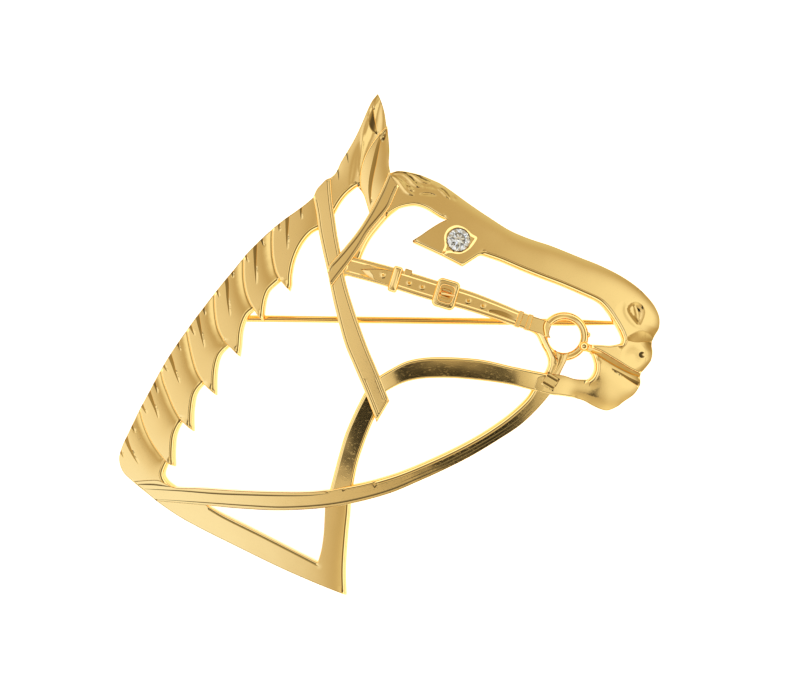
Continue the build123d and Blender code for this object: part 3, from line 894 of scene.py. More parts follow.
@dataclass(frozen=True)
class Mane(Part):
    """Seven locks, each lying over the next, with cut grooves along the crest."""

    low: float = 1.68
    dip: float = 0.025
    dip_reach: float = 0.15
    rise: float = 0.18
    reach: float = 1.1
    grid: float = 0.34
    overlap: Spot = (6.0, -1.5)
    groove: Tool = Tool(1.0, -0.125, Section.SCOOP, Taper.POINTED_END)
    nick: Tool = Tool(0.76, -0.095, Section.SCOOP, Taper.POINTED_END)
    fold: tuple[Spot, ...] = ((332, 190), (330, 210), (326, 236))
    locks: tuple[Lock, ...] = (
        Lock([(322, 188.5), (314, 197), (300, 208.5), (286, 218.4), (272.5, 229)],
             [(272.5, 229), (272, 240), (272.5, 255), (274, 264), (276, 272), (280, 280)],
             [(280, 280), (285, 286), (290, 291.5)],
             [(290, 291.5), (291.8, 285), (292, 277), (295, 261), (302, 245), (312, 233), (322, 228)],
             [(289.5, 214), (289, 222), (288, 236), (287.5, 250)],
             [[(302.5, 204), (302, 210), (301.5, 220)], [(280.5, 221), (280, 226), (279.5, 232)]]),
        Lock([(272.5, 229), (260, 240.5), (250, 250.5), (243.5, 257.8)],
             [(243.5, 257.8), (243.5, 275), (244.5, 285), (246.5, 294), (250, 303), (256, 313)],
             [(256, 313), (259, 317), (263.5, 321.5)],
             [(263.5, 321.5), (264.5, 313), (265.5, 305), (267, 298), (270, 291), (275, 286),
              (281, 281)],
             [(257.5, 241), (257, 250), (256.5, 268), (256.5, 285)],
             [[(263.5, 235), (263, 240), (264, 247)], [(247.5, 250), (247, 255), (248, 263)]]),
        Lock([(243.5, 257.8), (235, 268.5), (225, 280.5), (214.5, 293.6)],
             [(214.5, 293.6), (214.5, 304), (216, 320), (218.5, 330), (224, 341)],
             [(224, 341), (231, 348), (240, 357)],
             [(240, 357), (241.5, 346), (242, 338), (243, 330), (245, 323), (249, 315), (257, 309)],
             [(228, 274.5), (229, 284), (229, 300), (230, 317)],
             [[(234, 267), (233.5, 272), (233, 279)], [(218.5, 286), (218.5, 291), (219.5, 298)]]),
        Lock([(214.5, 293.6), (205, 306), (195, 319), (187, 330.2)],
             [(187, 330.2), (189, 342), (193, 360), (197, 372), (204, 384)],
             [(204, 384), (210, 390), (216.5, 395.5)],
             [(216.5, 395.5), (216.5, 380), (217, 372), (218.5, 363), (221.5, 355), (231, 345)],
             [(199, 312), (201, 325), (203, 338), (204.5, 348)],
             [[(205, 304), (205, 309), (205.5, 316)], [(191, 323), (192.5, 328), (195, 336)]]),
        Lock([(187, 330.2), (180, 340), (170, 355), (161, 369.9)],
             [(161, 369.9), (163, 380), (168.5, 395), (173, 406), (180, 419)],
             [(180, 419), (187, 426), (193.7, 431.5)],
             [(193.7, 431.5), (193.3, 420), (193.7, 410), (196, 396), (199.5, 389.5), (207, 382)],
             [(171, 352), (174, 362), (177, 374), (180, 384)],
             [[(179, 341), (179.5, 345), (180.5, 351)], [(164, 362), (165.5, 366), (168, 372)]]),
        Lock([(161, 369.9), (155, 381), (147, 396.3), (139.8, 409.4)],
             [(139.8, 409.4), (143, 422), (147, 432.5), (153, 444), (163, 458)],
             [(163, 458), (168.5, 463.5), (175, 466.5)],
             [(175, 466.5), (174.5, 458), (174.7, 448), (176, 436), (179.5, 427), (186, 417)],
             [(150, 389), (153, 398), (157, 411), (158.7, 419)],
             [[(155, 379), (156.5, 385), (158, 394)], [(142.5, 402), (144.5, 407), (147, 414)]]),
        Lock([(139.8, 409.4), (130, 430), (122, 447.5), (119.5, 459), (123, 471), (133.5, 481.8)],
             [(133.5, 481.8), (148, 488), (176, 490)],
             [(176, 490), (175.3, 487)],
             [(175.3, 487), (167.5, 481), (164.3, 475), (167, 465.5), (171, 458)],
             [(127, 433), (130, 444), (134, 454), (139, 464.5)],
             [[(132, 422), (133.5, 426), (135.5, 433)], [(120.5, 447), (122, 451), (124, 457.5)]]),
    )

    def plates(self) -> list[Plate]:
        """Builds the locks, from the poll down.

        Returns:
            A plate for each lock.
        """
        found = []
        above = self.line(*self.fold)
        for index, lock in enumerate(self.locks):
            found.append(self.lock_plate(lock, above, index))
            above = self.line(*lock.border)
        return found

    def lock_plate(self, lock: Lock, above: Points, index: int) -> Plate:
        """One lock as a plate that slopes up from the border above it.

        Args:
            lock: the lock.
            above: line of the border above it.
            index: the lock's place, from 0 at the poll.

        Returns:
            The plate.
        """
        foot = index == len(self.locks) - 1
        shift = np.array(self.overlap) * (self.layout.scale, -self.layout.scale)
        under = above[::-1] + shift if index else above[::-1]
        sides = [
            self.side(Edge.ROLL, *lock.crest),
            self.side(Edge.HIDDEN if foot else Edge.STRAP, *lock.border),
            self.side(Edge.HIDDEN if foot else Edge.ROLL, *lock.tooth),
            self.side(Edge.WALL, *lock.edge),
            Side(Edge.HIDDEN, under[2:-2]),
        ]
        slopes = [Slope(above, self.dip, self.dip_reach, -1),
                  Slope(above, self.rise, self.reach, -1)]
        cuts = [Mark(self.line(*lock.groove), self.groove)]
        cuts += [Mark(self.line(*nick), self.nick) for nick in lock.nicks]
        return Plate(f"lock_{index + 1}", sides, self.low, slopes + cuts, grid=self.grid)


@dataclass(frozen=True)
class Ear(Part):
    """Back leaf with the poll, and the front leaf folded down its middle."""

    back_top: float = 1.62
    back_grid: float = 0.3
    leaf_top: float = 1.95
    leaf_grid: float = 0.2
    leaf_rise: float = 0.25
    leaf_reach: float = 2.2
    crown_rise: float = 0.08
    crown_reach: float = 0.7
    hollow: Tool = Tool(2.2, -0.11)
    tip_shade: Tool = Tool(1.6, -0.135, Section.SCOOP)
    rim: Tool = Tool(0.5, 0.018)
    poll: Tool = Tool(1.8, -0.035)
    nick: Tool = Tool(0.3, -0.05, Section.VEE, Taper.POINTED_END)
    fold: Tool = Tool(1.0, -0.14, Section.SCOOP)
    leaf_shade: Tool = Tool(1.5, -0.17, Section.SCOOP)

    def plates(self) -> list[Plate]:
        """Builds the two leaves.

        Returns:
            The back leaf and the front leaf.
        """
        back = self.outline(
            (Edge.ROLL, (329.5, 178.5), (335, 174), (341, 162), (350, 147), (357, 134), (362, 123),
             (367.5, 110), (372, 101), (378, 93.5)),
            (Edge.ROLL, (378, 93.5), (381.5, 102), (384.5, 112), (386.5, 125), (388, 134), (389.5, 150),
             (389, 163), (391, 176)),
            (Edge.HIDDEN, (391, 176), (384, 196), (372, 212)),
            (Edge.HIDDEN, (372, 212), (367, 203), (362.5, 193), (358, 187)),
            (Edge.WALL, (357, 186.5), (352.5, 190), (346, 196), (340, 204), (334.5, 214)),
            (Edge.HIDDEN, (334.5, 214), (328, 215), (329.5, 178.5)),
        )
        hollow = self.line((381, 99), (378, 112), (376, 124), (373, 136), (368, 148), (364, 162),
                           (360, 176))
        shade = self.line((373, 106), (374, 115), (375.5, 124), (377.5, 135))
        rim = self.line((377.5, 97), (371, 111), (366, 121), (363, 132), (362, 146), (361, 160),
                        (358, 178))
        poll = self.line((361, 140), (358.5, 156), (356, 172), (351, 190))
        nicks = [
            [(346.5, 150), (347.5, 156), (348.5, 164)],
            [(337.5, 167), (338.5, 173), (339, 181)],
        ]
        marks = [Mark(hollow, self.hollow), Mark(shade, self.tip_shade), Mark(rim, self.rim),
                 Mark(poll, self.poll)]
        marks += [Mark(self.line(*nick), self.nick) for nick in nicks]
        swell = crown(back, self.crown_rise, self.crown_reach)
        return [Plate("ear_back", back, self.back_top, marks + swell, grid=self.back_grid),
                self.leaf()]

    def leaf(self) -> Plate:
        """Builds the front leaf.

        Returns:
            The leaf as a plate.
        """
        sides = self.outline(
            (Edge.STRAP, (387.5, 126.5), (383, 130), (376, 138), (368, 150), (362.5, 163), (360, 178),
             (360.5, 187), (364, 196), (369.5, 214)),
            (Edge.HIDDEN, (369.5, 214), (380, 202), (391, 176)),
            (Edge.ROLL, (391, 176), (389, 165), (389.6, 152), (389, 142), (387.5, 126.5)),
        )
        crease = self.line((385.5, 131), (381, 141), (379, 150), (376.5, 163), (373.5, 177), (371.5, 190),
                           (370.8, 206))
        shade = self.line((387, 128.5), (386.4, 135), (383, 143))
        reliefs = [Slope(sides[0].line, self.leaf_rise, self.leaf_reach), Mark(crease, self.fold),
                   Mark(shade, self.leaf_shade)]
        reliefs += crown(sides, self.crown_rise, self.crown_reach)
        return Plate("ear_leaf", sides, self.leaf_top, reliefs, grid=self.leaf_grid)


@dataclass(frozen=True)
class Punch:
    """A round hollow of a plate, at a place of the picture grid."""

    at: Spot
    radius: float
    rise: float
    section: Section = Section.ROUND


@dataclass(frozen=True)
class Face(Part):
    """Forehead, nose and muzzle with the eye plate, forelock, nostril and upper lip."""

    top: float = 1.7
    grid: float = 0.32
    crown_rise: float = 0.13
    crown_reach: float = 1.1
    wisp: Tool = Tool(0.78, 0.038)
    wisp_cut: Tool = Tool(0.45, -0.014)
    deep_cut: Tool = Tool(0.45, -0.028)
    nostril_rise: float = -0.055
    nostril_rim: float = 0.45
    nostril_crease: Tool = Tool(1.1, -0.04)
    nostril_border: Tool = Tool(0.75, 0.006)
    nostril_valley: Tool = Tool(2.4, -0.01)
    lip_fold: Tool = Tool(2.6, -0.1, Section.SCOOP)
    lip_hollow: Punch = Punch((633, 356), 1.6, -0.05)
    lip_pit: Punch = Punch((641.5, 354.8), 0.38, -0.11, Section.VEE)
    nose_pit: Punch = Punch((639.5, 290), 0.14, -0.045, Section.VEE)
    almond_rise: float = -0.17
    almond_rim: float = 0.27
    almond_notch: Tool = Tool(0.5, -0.05)
    seat_radius: float = 1.37
    seat_sides: int = 36
    seat_margin: float = 0.25
    seat_top: float = 0.42
    seat_hole: float = 0.35
    seat_hole_sides: int = 16
    web_top: float = 1.2
    web_rise: float = 0.6
    web_reach: float = 3.0

    def plates(self) -> list[Plate]:
        """Builds the face.

        Returns:
            The face, the metal between the lips and the stone's seat.
        """
        sides = self.outline(
            (Edge.ROLL, (390, 173.5), (398, 171), (410, 172.5), (420, 175), (430, 179), (440, 183.5),
             (450, 190), (470, 204.5), (490, 218), (510, 230.5), (530, 239), (550, 245.5), (580, 257.5),
             (600, 265.5), (620, 275.5), (635, 285.5), (645, 294.5), (654, 305.5), (658.5, 315),
             (659.5, 322), (658.5, 329), (655, 335), (652, 341)),
            (Edge.ROLL, (652, 341), (651.6, 346), (652.3, 352), (651, 360), (647, 366), (640, 373.8)),
            (Edge.STRAP, (640, 373.8), (630, 369), (620, 363), (610, 357), (600, 351.2), (591.5, 348)),
            (Edge.STEP, (591.5, 348), (591.5, 344.6)),
            (Edge.STRAP, (591.5, 344.6), (600, 345), (611, 345.5), (621, 343.5)),
            (Edge.WALL, (621, 343.5), (622.3, 340.5), (620, 333), (612, 319), (604, 308), (598, 302.5),
             (580, 294), (560, 285.5), (540, 278), (520, 270), (500, 261.5), (484, 256)),
            (Edge.BEVEL, (484, 256), (480, 255.5), (475, 258.5), (462.5, 266.5)),
            (Edge.BEVEL, (462.5, 266.5), (440, 255), (425, 248), (413, 242.5)),
            (Edge.STEP, (413, 242.5), (412.5, 240.7)),
            (Edge.STEP, (412.5, 240.7), (420, 236), (430, 229), (440, 222.8), (446.5, 219.7)),
            (Edge.STEP, (446.5, 219.7), (444, 219.1)),
            (Edge.BEVEL, (444, 219.1), (440, 217.3), (433, 213), (427, 209.3), (421, 206.8), (415, 205.5),
             (408, 206), (400, 208), (393, 211.5), (386, 217)),
            (Edge.HIDDEN, (386, 217), (384, 200), (390, 173.5)),
        )
        reliefs = self.forelock() + self.muzzle() + self.setting()
        reliefs += crown(sides, self.crown_rise, self.crown_reach)
        hole = circle(self.layout.spot(EYE_AT), self.seat_radius, self.seat_sides)
        face = Plate("face", sides, self.top, reliefs, [[closed_side(Edge.STEP, hole)]], self.grid)
        return [face, self.mouth_web(), self.seat()]

    def forelock(self) -> list:
        """Raised wisps of the forelock, with the cuts under them.

        Returns:
            The wisps and then the cuts.
        """
        wisps = [
            [(391, 175.5), (398, 180), (404, 188), (408, 192.5), (416, 196)],
            [(392, 174), (402, 173.5), (409, 178), (415, 184.5), (425, 189)],
            [(408, 173), (415, 176), (422, 180.5), (433, 184)],
            [(406, 186), (410, 189), (415, 191.5)],
            [(436, 187.5), (442, 191), (446, 195), (451, 200)],
        ]
        cuts = [
            [(395, 177), (403, 180), (410, 186), (416, 191)],
            [(404, 174), (411, 176.5), (418, 183), (427, 187.5)],
            [(424, 187.8), (431, 187), (437, 190)],
            [(451, 196.5), (454, 198.5), (457.5, 201.5)],
        ]
        deep = self.line((418, 194.8), (427, 194.2), (438, 196.2))
        marks = [Mark(self.line(*wisp), self.wisp) for wisp in wisps]
        marks += [Mark(self.line(*cut), self.wisp_cut) for cut in cuts]
        return marks + [Mark(deep, self.deep_cut)]

    def muzzle(self) -> list:
        """Nostril with its crease and raised rim, and the fold and hollow of the upper lip.

        Returns:
            The hollows and marks.
        """
        nostril = self.loop(
            (638.7, 326), (635, 323.5), (630, 317.5), (626.3, 311), (627, 306), (631, 302.5),
            (636, 301.7), (641.5, 304.5), (644.5, 311), (643, 318.5))
        crease = self.line((633.5, 303.5), (637, 312), (638.3, 322))
        rim = self.line((625, 304), (624.5, 311), (629, 319.5), (637.5, 328.5))
        valley = self.line((623, 301), (621.5, 311), (627, 322), (635, 330), (645, 334))
        fold = self.line((653, 342.5), (645, 341.5), (636, 342), (625, 340))
        marks = [Pool(nostril, self.nostril_rise, self.nostril_rim),
                 Mark(crease, self.nostril_crease), Mark(rim, self.nostril_border),
                 Mark(valley, self.nostril_valley), Mark(fold, self.lip_fold)]
        return marks + [Dimple(self.layout.spot(punch.at), punch.radius, punch.rise, punch.section)
                        for punch in (self.lip_hollow, self.lip_pit, self.nose_pit)]

    def setting(self) -> list:
        """Bright-cut almond round the stone.

        Returns:
            The almond and the notch at its lower point.
        """
        almond = self.loop(
            (441.5, 255), (444.5, 246), (444.3, 236), (448, 229), (456, 225.5), (464.5, 228),
            (472, 234.5), (477, 237.7), (474.5, 243), (469, 249.5), (460, 254), (449, 253))
        notch = self.line((446.5, 249), (442.5, 254.5), (440.5, 258))
        return [Pool(almond, self.almond_rise, self.almond_rim), Mark(notch, self.almond_notch)]

    def seat(self) -> Plate:
        """Round floor with a small hole, which carries the stone inside its own hole.

        Returns:
            The floor as a plate.
        """
        centre = self.layout.spot(EYE_AT)
        rim = circle(centre, self.seat_radius + self.seat_margin, self.seat_sides)
        hole = circle(centre, self.seat_hole, self.seat_hole_sides)
        return Plate("stone_seat", [closed_side(Edge.HIDDEN, rim)], self.seat_top, [],
                     [[closed_side(Edge.HIDDEN, hole)]])

    def mouth_web(self) -> Plate:
        """Low metal between the lips.

        Returns:
            The metal as a plate.
        """
        sides = self.outline(
            (Edge.STEP, (591.5, 346), (590.5, 354)),
            (Edge.HIDDEN, (590.5, 354), (606, 364), (625, 375), (639, 380)),
            (Edge.STEP, (639, 380), (640.5, 376), (642, 370)),
            (Edge.HIDDEN, (642, 370), (622, 360), (603, 349), (591.5, 346)),
        )
        slope = Slope(sides[1].line, self.web_rise, self.web_reach)
        return Plate("mouth_web", sides, self.web_top, [slope])


@dataclass(frozen=True)
class JawAndChin(Part):
    """Jaw bar that swells into the chin and the lower lip."""

    top: float = 1.62
    grid: float = 0.36
    crown_rise: float = 0.1
    crown_reach: float = 1.0
    bulge_rise: float = 0.2
    bulge_rim: float = 1.9
    fold: Tool = Tool(0.95, -0.145, Section.SCOOP, Taper.POINTED_END)
    tilt: float = 0.14
    tilt_reach: float = 2.5

    def plates(self) -> list[Plate]:
        """Builds the jaw and chin.

        Returns:
            Both as one plate.
        """
        sides = self.outline(
            (Edge.BEVEL, (371, 384), (379.5, 376), (389, 370), (406, 361.3), (423.3, 357.7), (446.3, 357),
             (481, 359.4), (511.8, 366.2), (530, 370), (548, 373.5)),
            (Edge.ROLL, (548, 373.5), (562.9, 375.3), (575, 379), (588, 379.6)),
            (Edge.WALL, (588, 379.6), (591.5, 377), (594.3, 372), (595.2, 366.5), (594.3, 361),
             (591, 352)),
            (Edge.ROLL, (591, 352), (598, 356), (606, 361), (620, 369), (630, 373.8), (640, 377.3)),
            (Edge.ROLL, (640, 377.3), (640, 384), (637, 390), (633, 395), (623, 402), (618, 406),
             (612, 409), (607, 410.5), (601, 409.5), (592, 405.5), (584, 401), (573, 397.6)),
            (Edge.STRAP, (573, 397.6), (560, 395.6), (551.6, 394.8), (528.2, 389.2), (511.8, 385.1),
             (480, 380.5), (446.3, 378), (417.6, 379.4), (400.4, 384), (385.4, 392), (377, 398)),
            (Edge.HIDDEN, (377, 398), (371, 384)),
        )
        bulge = self.loop(
            (598, 378), (603, 371), (612, 368), (626, 374), (638, 383), (636, 391), (622, 402),
            (607, 409.5), (596, 405), (590, 396))
        fold = self.line((637, 385.5), (628, 380), (619, 373.6), (611, 368))
        reliefs = [Pool(bulge, self.bulge_rise, self.bulge_rim), Mark(fold, self.fold),
                   Slope(sides[-1].line, self.tilt, self.tilt_reach)]
        reliefs += crown(sides, self.crown_rise, self.crown_reach)
        return [Plate("jaw", sides, self.top, reliefs, grid=self.grid)]


@dataclass(frozen=True)
class NeckAndBreast(Part):
    """Neck bar down to the rein, and the shank and breast bar that meet in the lower tip."""

    neck_top: float = 1.6
    foot_top: float = 1.54
    grid: float = 0.5
    groove: Tool = Tool(0.24, -0.035, Section.VEE, Taper.EVEN)
    tilt: float = 0.1
    tilt_reach: float = 0.9

    def plates(self) -> list[Plate]:
        """Builds the neck bar and the foot.

        Returns:
            A plate for each.
        """
        neck = self.outline(
            (Edge.BEVEL, (368, 386), (362, 397), (354, 413), (345, 434), (339, 454), (333.5, 475),
             (328, 496)),
            (Edge.HIDDEN, (328, 496), (351.5, 496)),
            (Edge.BEVEL, (351.5, 496), (354.5, 478), (358.5, 461), (364.5, 443), (371.5, 425), (379, 408)),
            (Edge.HIDDEN, (379, 408), (382, 396), (368, 386)),
        )
        foot = [
            self.side(Edge.ROLL, (325.5, 497), (325, 508), (323.5, 535), (321, 551), (317.7, 562.3)),
            self.side(Edge.ROLL, (317.7, 562.3), (300, 553.5), (280, 543.2), (260, 533), (240, 523),
                      (220, 513), (206.5, 505), (200, 500)),
            self.side(Edge.HIDDEN, (200, 500), (160, 490), (135, 479)),
            self.side(Edge.ROLL, (133.5, 482), (140, 487.5), (150, 495.5), (160, 503.5), (180, 517),
                      (200, 528), (240, 548), (280, 567.5), (320, 585), (346.5, 595.5)),
            self.side(Edge.WALL, (346.5, 595.5), (345.8, 575), (346.2, 560), (348.5, 530), (350.3, 512),
                      (351, 497)),
            self.side(Edge.HIDDEN, (351, 497), (325.5, 497)),
        ]
        groove = self.line((209, 509), (222, 516.7), (262, 536.7), (302, 557.2), (316, 564.5))
        reliefs = [Mark(groove, self.groove), Slope(foot[4].line, self.tilt, self.tilt_reach)]
        return [Plate("neck_bar", neck, self.neck_top, grid=self.grid),
                Plate("neck_foot", foot, self.foot_top, reliefs, grid=self.grid)]


@dataclass(frozen=True)
class Rein(Part):
    """Leaf-shaped rein from the foot of the mane up to the keeper at the jaw."""

    top: float = 2.0
    grid: float = 0.5
    border: Tool = Tool(0.2, -0.034, Section.VEE)

    def plates(self) -> list[Plate]:
        """Builds the rein with its cut border lines.

        Returns:
            The rein as one plate.
        """
        sides = self.outline(
            (Edge.ROLL, (134, 481), (147, 480), (159, 480), (167, 483.7), (175, 487), (200, 488),
             (240, 490.5), (280, 491.8), (310, 491.6), (328, 490)),
            (Edge.STRAP, (328, 490), (337, 488.4), (345, 486.5)),
            (Edge.BEVEL, (345, 486.5), (360, 483.5), (376, 479.6)),
            (Edge.WALL, (376, 479.6), (400, 472), (440, 455), (470, 440), (490, 428), (510, 413.5),
             (527, 397.5), (533, 388), (537, 380)),
            (Edge.HIDDEN, (537, 380), (554, 388)),
            (Edge.ROLL, (554, 388), (549, 395), (537, 409), (520, 425), (500, 438.5), (470, 456.5),
             (440, 471.5), (420, 480.5), (390, 493), (350, 503.5), (320, 508), (280, 510), (245, 508.5),
             (200, 504.5), (157, 500.8)),
            (Edge.STEP, (157, 500.8), (134, 481)),
        )
        lines = [
            [(137, 484), (155, 484.2), (172, 486.6)],
            [(143.7, 488.5), (181, 490.4), (218, 493.2), (250, 494.4), (281, 495.2),
             (310, 495), (330, 493)],
            [(155, 498.7), (187.6, 500.9), (218, 503), (250, 505.2), (281, 506.6),
             (320, 504.6), (351, 499.8), (390, 489.4), (420, 476.8), (440, 468), (470, 453),
             (500, 435.2), (520, 421.6), (537, 405.6)],
            [(400, 482.4), (420, 473.6), (440, 464.8), (470, 449.6), (500, 431.8), (520, 418),
             (534, 404.8)],
        ]
        cuts = [Mark(self.line(*line), self.border) for line in lines]
        return [Plate("rein", sides, self.top, cuts, grid=self.grid)]


@dataclass(frozen=True)
class Headstall(Part):
    """Cheekpiece and browband, the two crossing straps behind the eye."""

    cheek_top: float = 2.0
    base_top: float = 1.7
    brow_top: float = 2.33
    base_grid: float = 0.4
    grid: float = 0.5
    border: Tool = Tool(0.16, -0.021, Section.VEE, Taper.EVEN)
    line_ends: Pair = (0.02, 0.98)
    line_gap: float = 0.4
    second_gap: float = 0.62
    doubled_below: float = -4.0
    cheek_tilt: float = 0.15
    cheek_reach: float = 8.0

    def plates(self) -> list[Plate]:
        """Builds the straps with their cut border lines.

        Returns:
            The cheekpiece, the base of the browband and the browband.
        """
        left = self.side(Edge.STRAP, (313.3, 197.7), (316.5, 215), (318.5, 230), (322.5, 250), (327, 270),
                         (331, 290), (335.5, 310), (345, 345), (352, 362), (364, 390), (370, 405),
                         (376.8, 422.4))
        right = self.side(Edge.STRAP, (389.5, 401), (378.5, 373), (370, 353), (363, 335), (352, 303),
                          (345, 278), (340.5, 252), (337.5, 236), (335.5, 222), (332.5, 200),
                          (330.8, 178))
        cheek = [
            left,
            self.side(Edge.BEVEL, (376.8, 422.4), (389.5, 401)),
            right,
            self.side(Edge.ROLL, (330.8, 178), (326, 180), (322, 184), (317, 189.5), (313.3, 197.7)),
        ]
        reliefs = self.border_lines([left.line, right.line])
        reliefs.append(Slope(left.line, self.cheek_tilt, self.cheek_reach))
        strap = Plate("cheekpiece", cheek, self.cheek_top, reliefs, grid=self.grid)
        return [strap] + self.browband()

    def border_lines(self, sides: list[Points]) -> list[Mark]:
        """Cut lines just inside the sides of a strap, doubled on its lower part.

        Args:
            sides: the sides, as an outline that runs anticlockwise has them.

        Returns:
            The cuts.
        """
        marks = []
        for line in sides:
            first = between(offset_line(line, self.line_gap), *self.line_ends)
            second = between(offset_line(line, self.second_gap), *self.line_ends)
            second = second[second[:, 1] < self.doubled_below]
            marks += [Mark(beside, self.border) for beside in (first, second) if len(beside) > 2]
        return marks

    def browband(self) -> list[Plate]:
        """Builds the browband on its wider base.

        Returns:
            The base and the band.
        """
        left = self.side(Edge.STRAP, (388.5, 173), (385, 182), (380, 193), (370, 212), (358, 231),
                         (345, 247.5), (335, 259), (330, 264.5), (327, 270.5))
        right = self.side(Edge.STRAP, (331.5, 287), (343, 272), (350, 263), (361, 247), (370, 232),
                          (380, 220), (390, 207), (395, 196), (399, 187))
        top = [
            left,
            self.side(Edge.ROLL, (327, 270.5), (331.5, 287)),
            right,
            self.side(Edge.ROLL, (399, 187), (388.5, 173)),
        ]
        base = self.outline(
            (Edge.HIDDEN, (396, 190), (386, 208), (366, 234), (350, 258), (336, 274)),
            (Edge.HIDDEN, (336, 274), (343, 277)),
            (Edge.WALL, (343, 277), (352, 273), (359, 263), (363.5, 252), (370, 239.5), (380, 226.5),
             (390, 215.5), (400, 207.5)),
            (Edge.HIDDEN, (400, 207.5), (402, 198), (396, 190)),
        )
        cuts = self.border_lines([left.line, right.line])
        return [Plate("browband_base", base, self.base_top, grid=self.base_grid),
                Plate("browband", top, self.brow_top, cuts, grid=self.grid)]


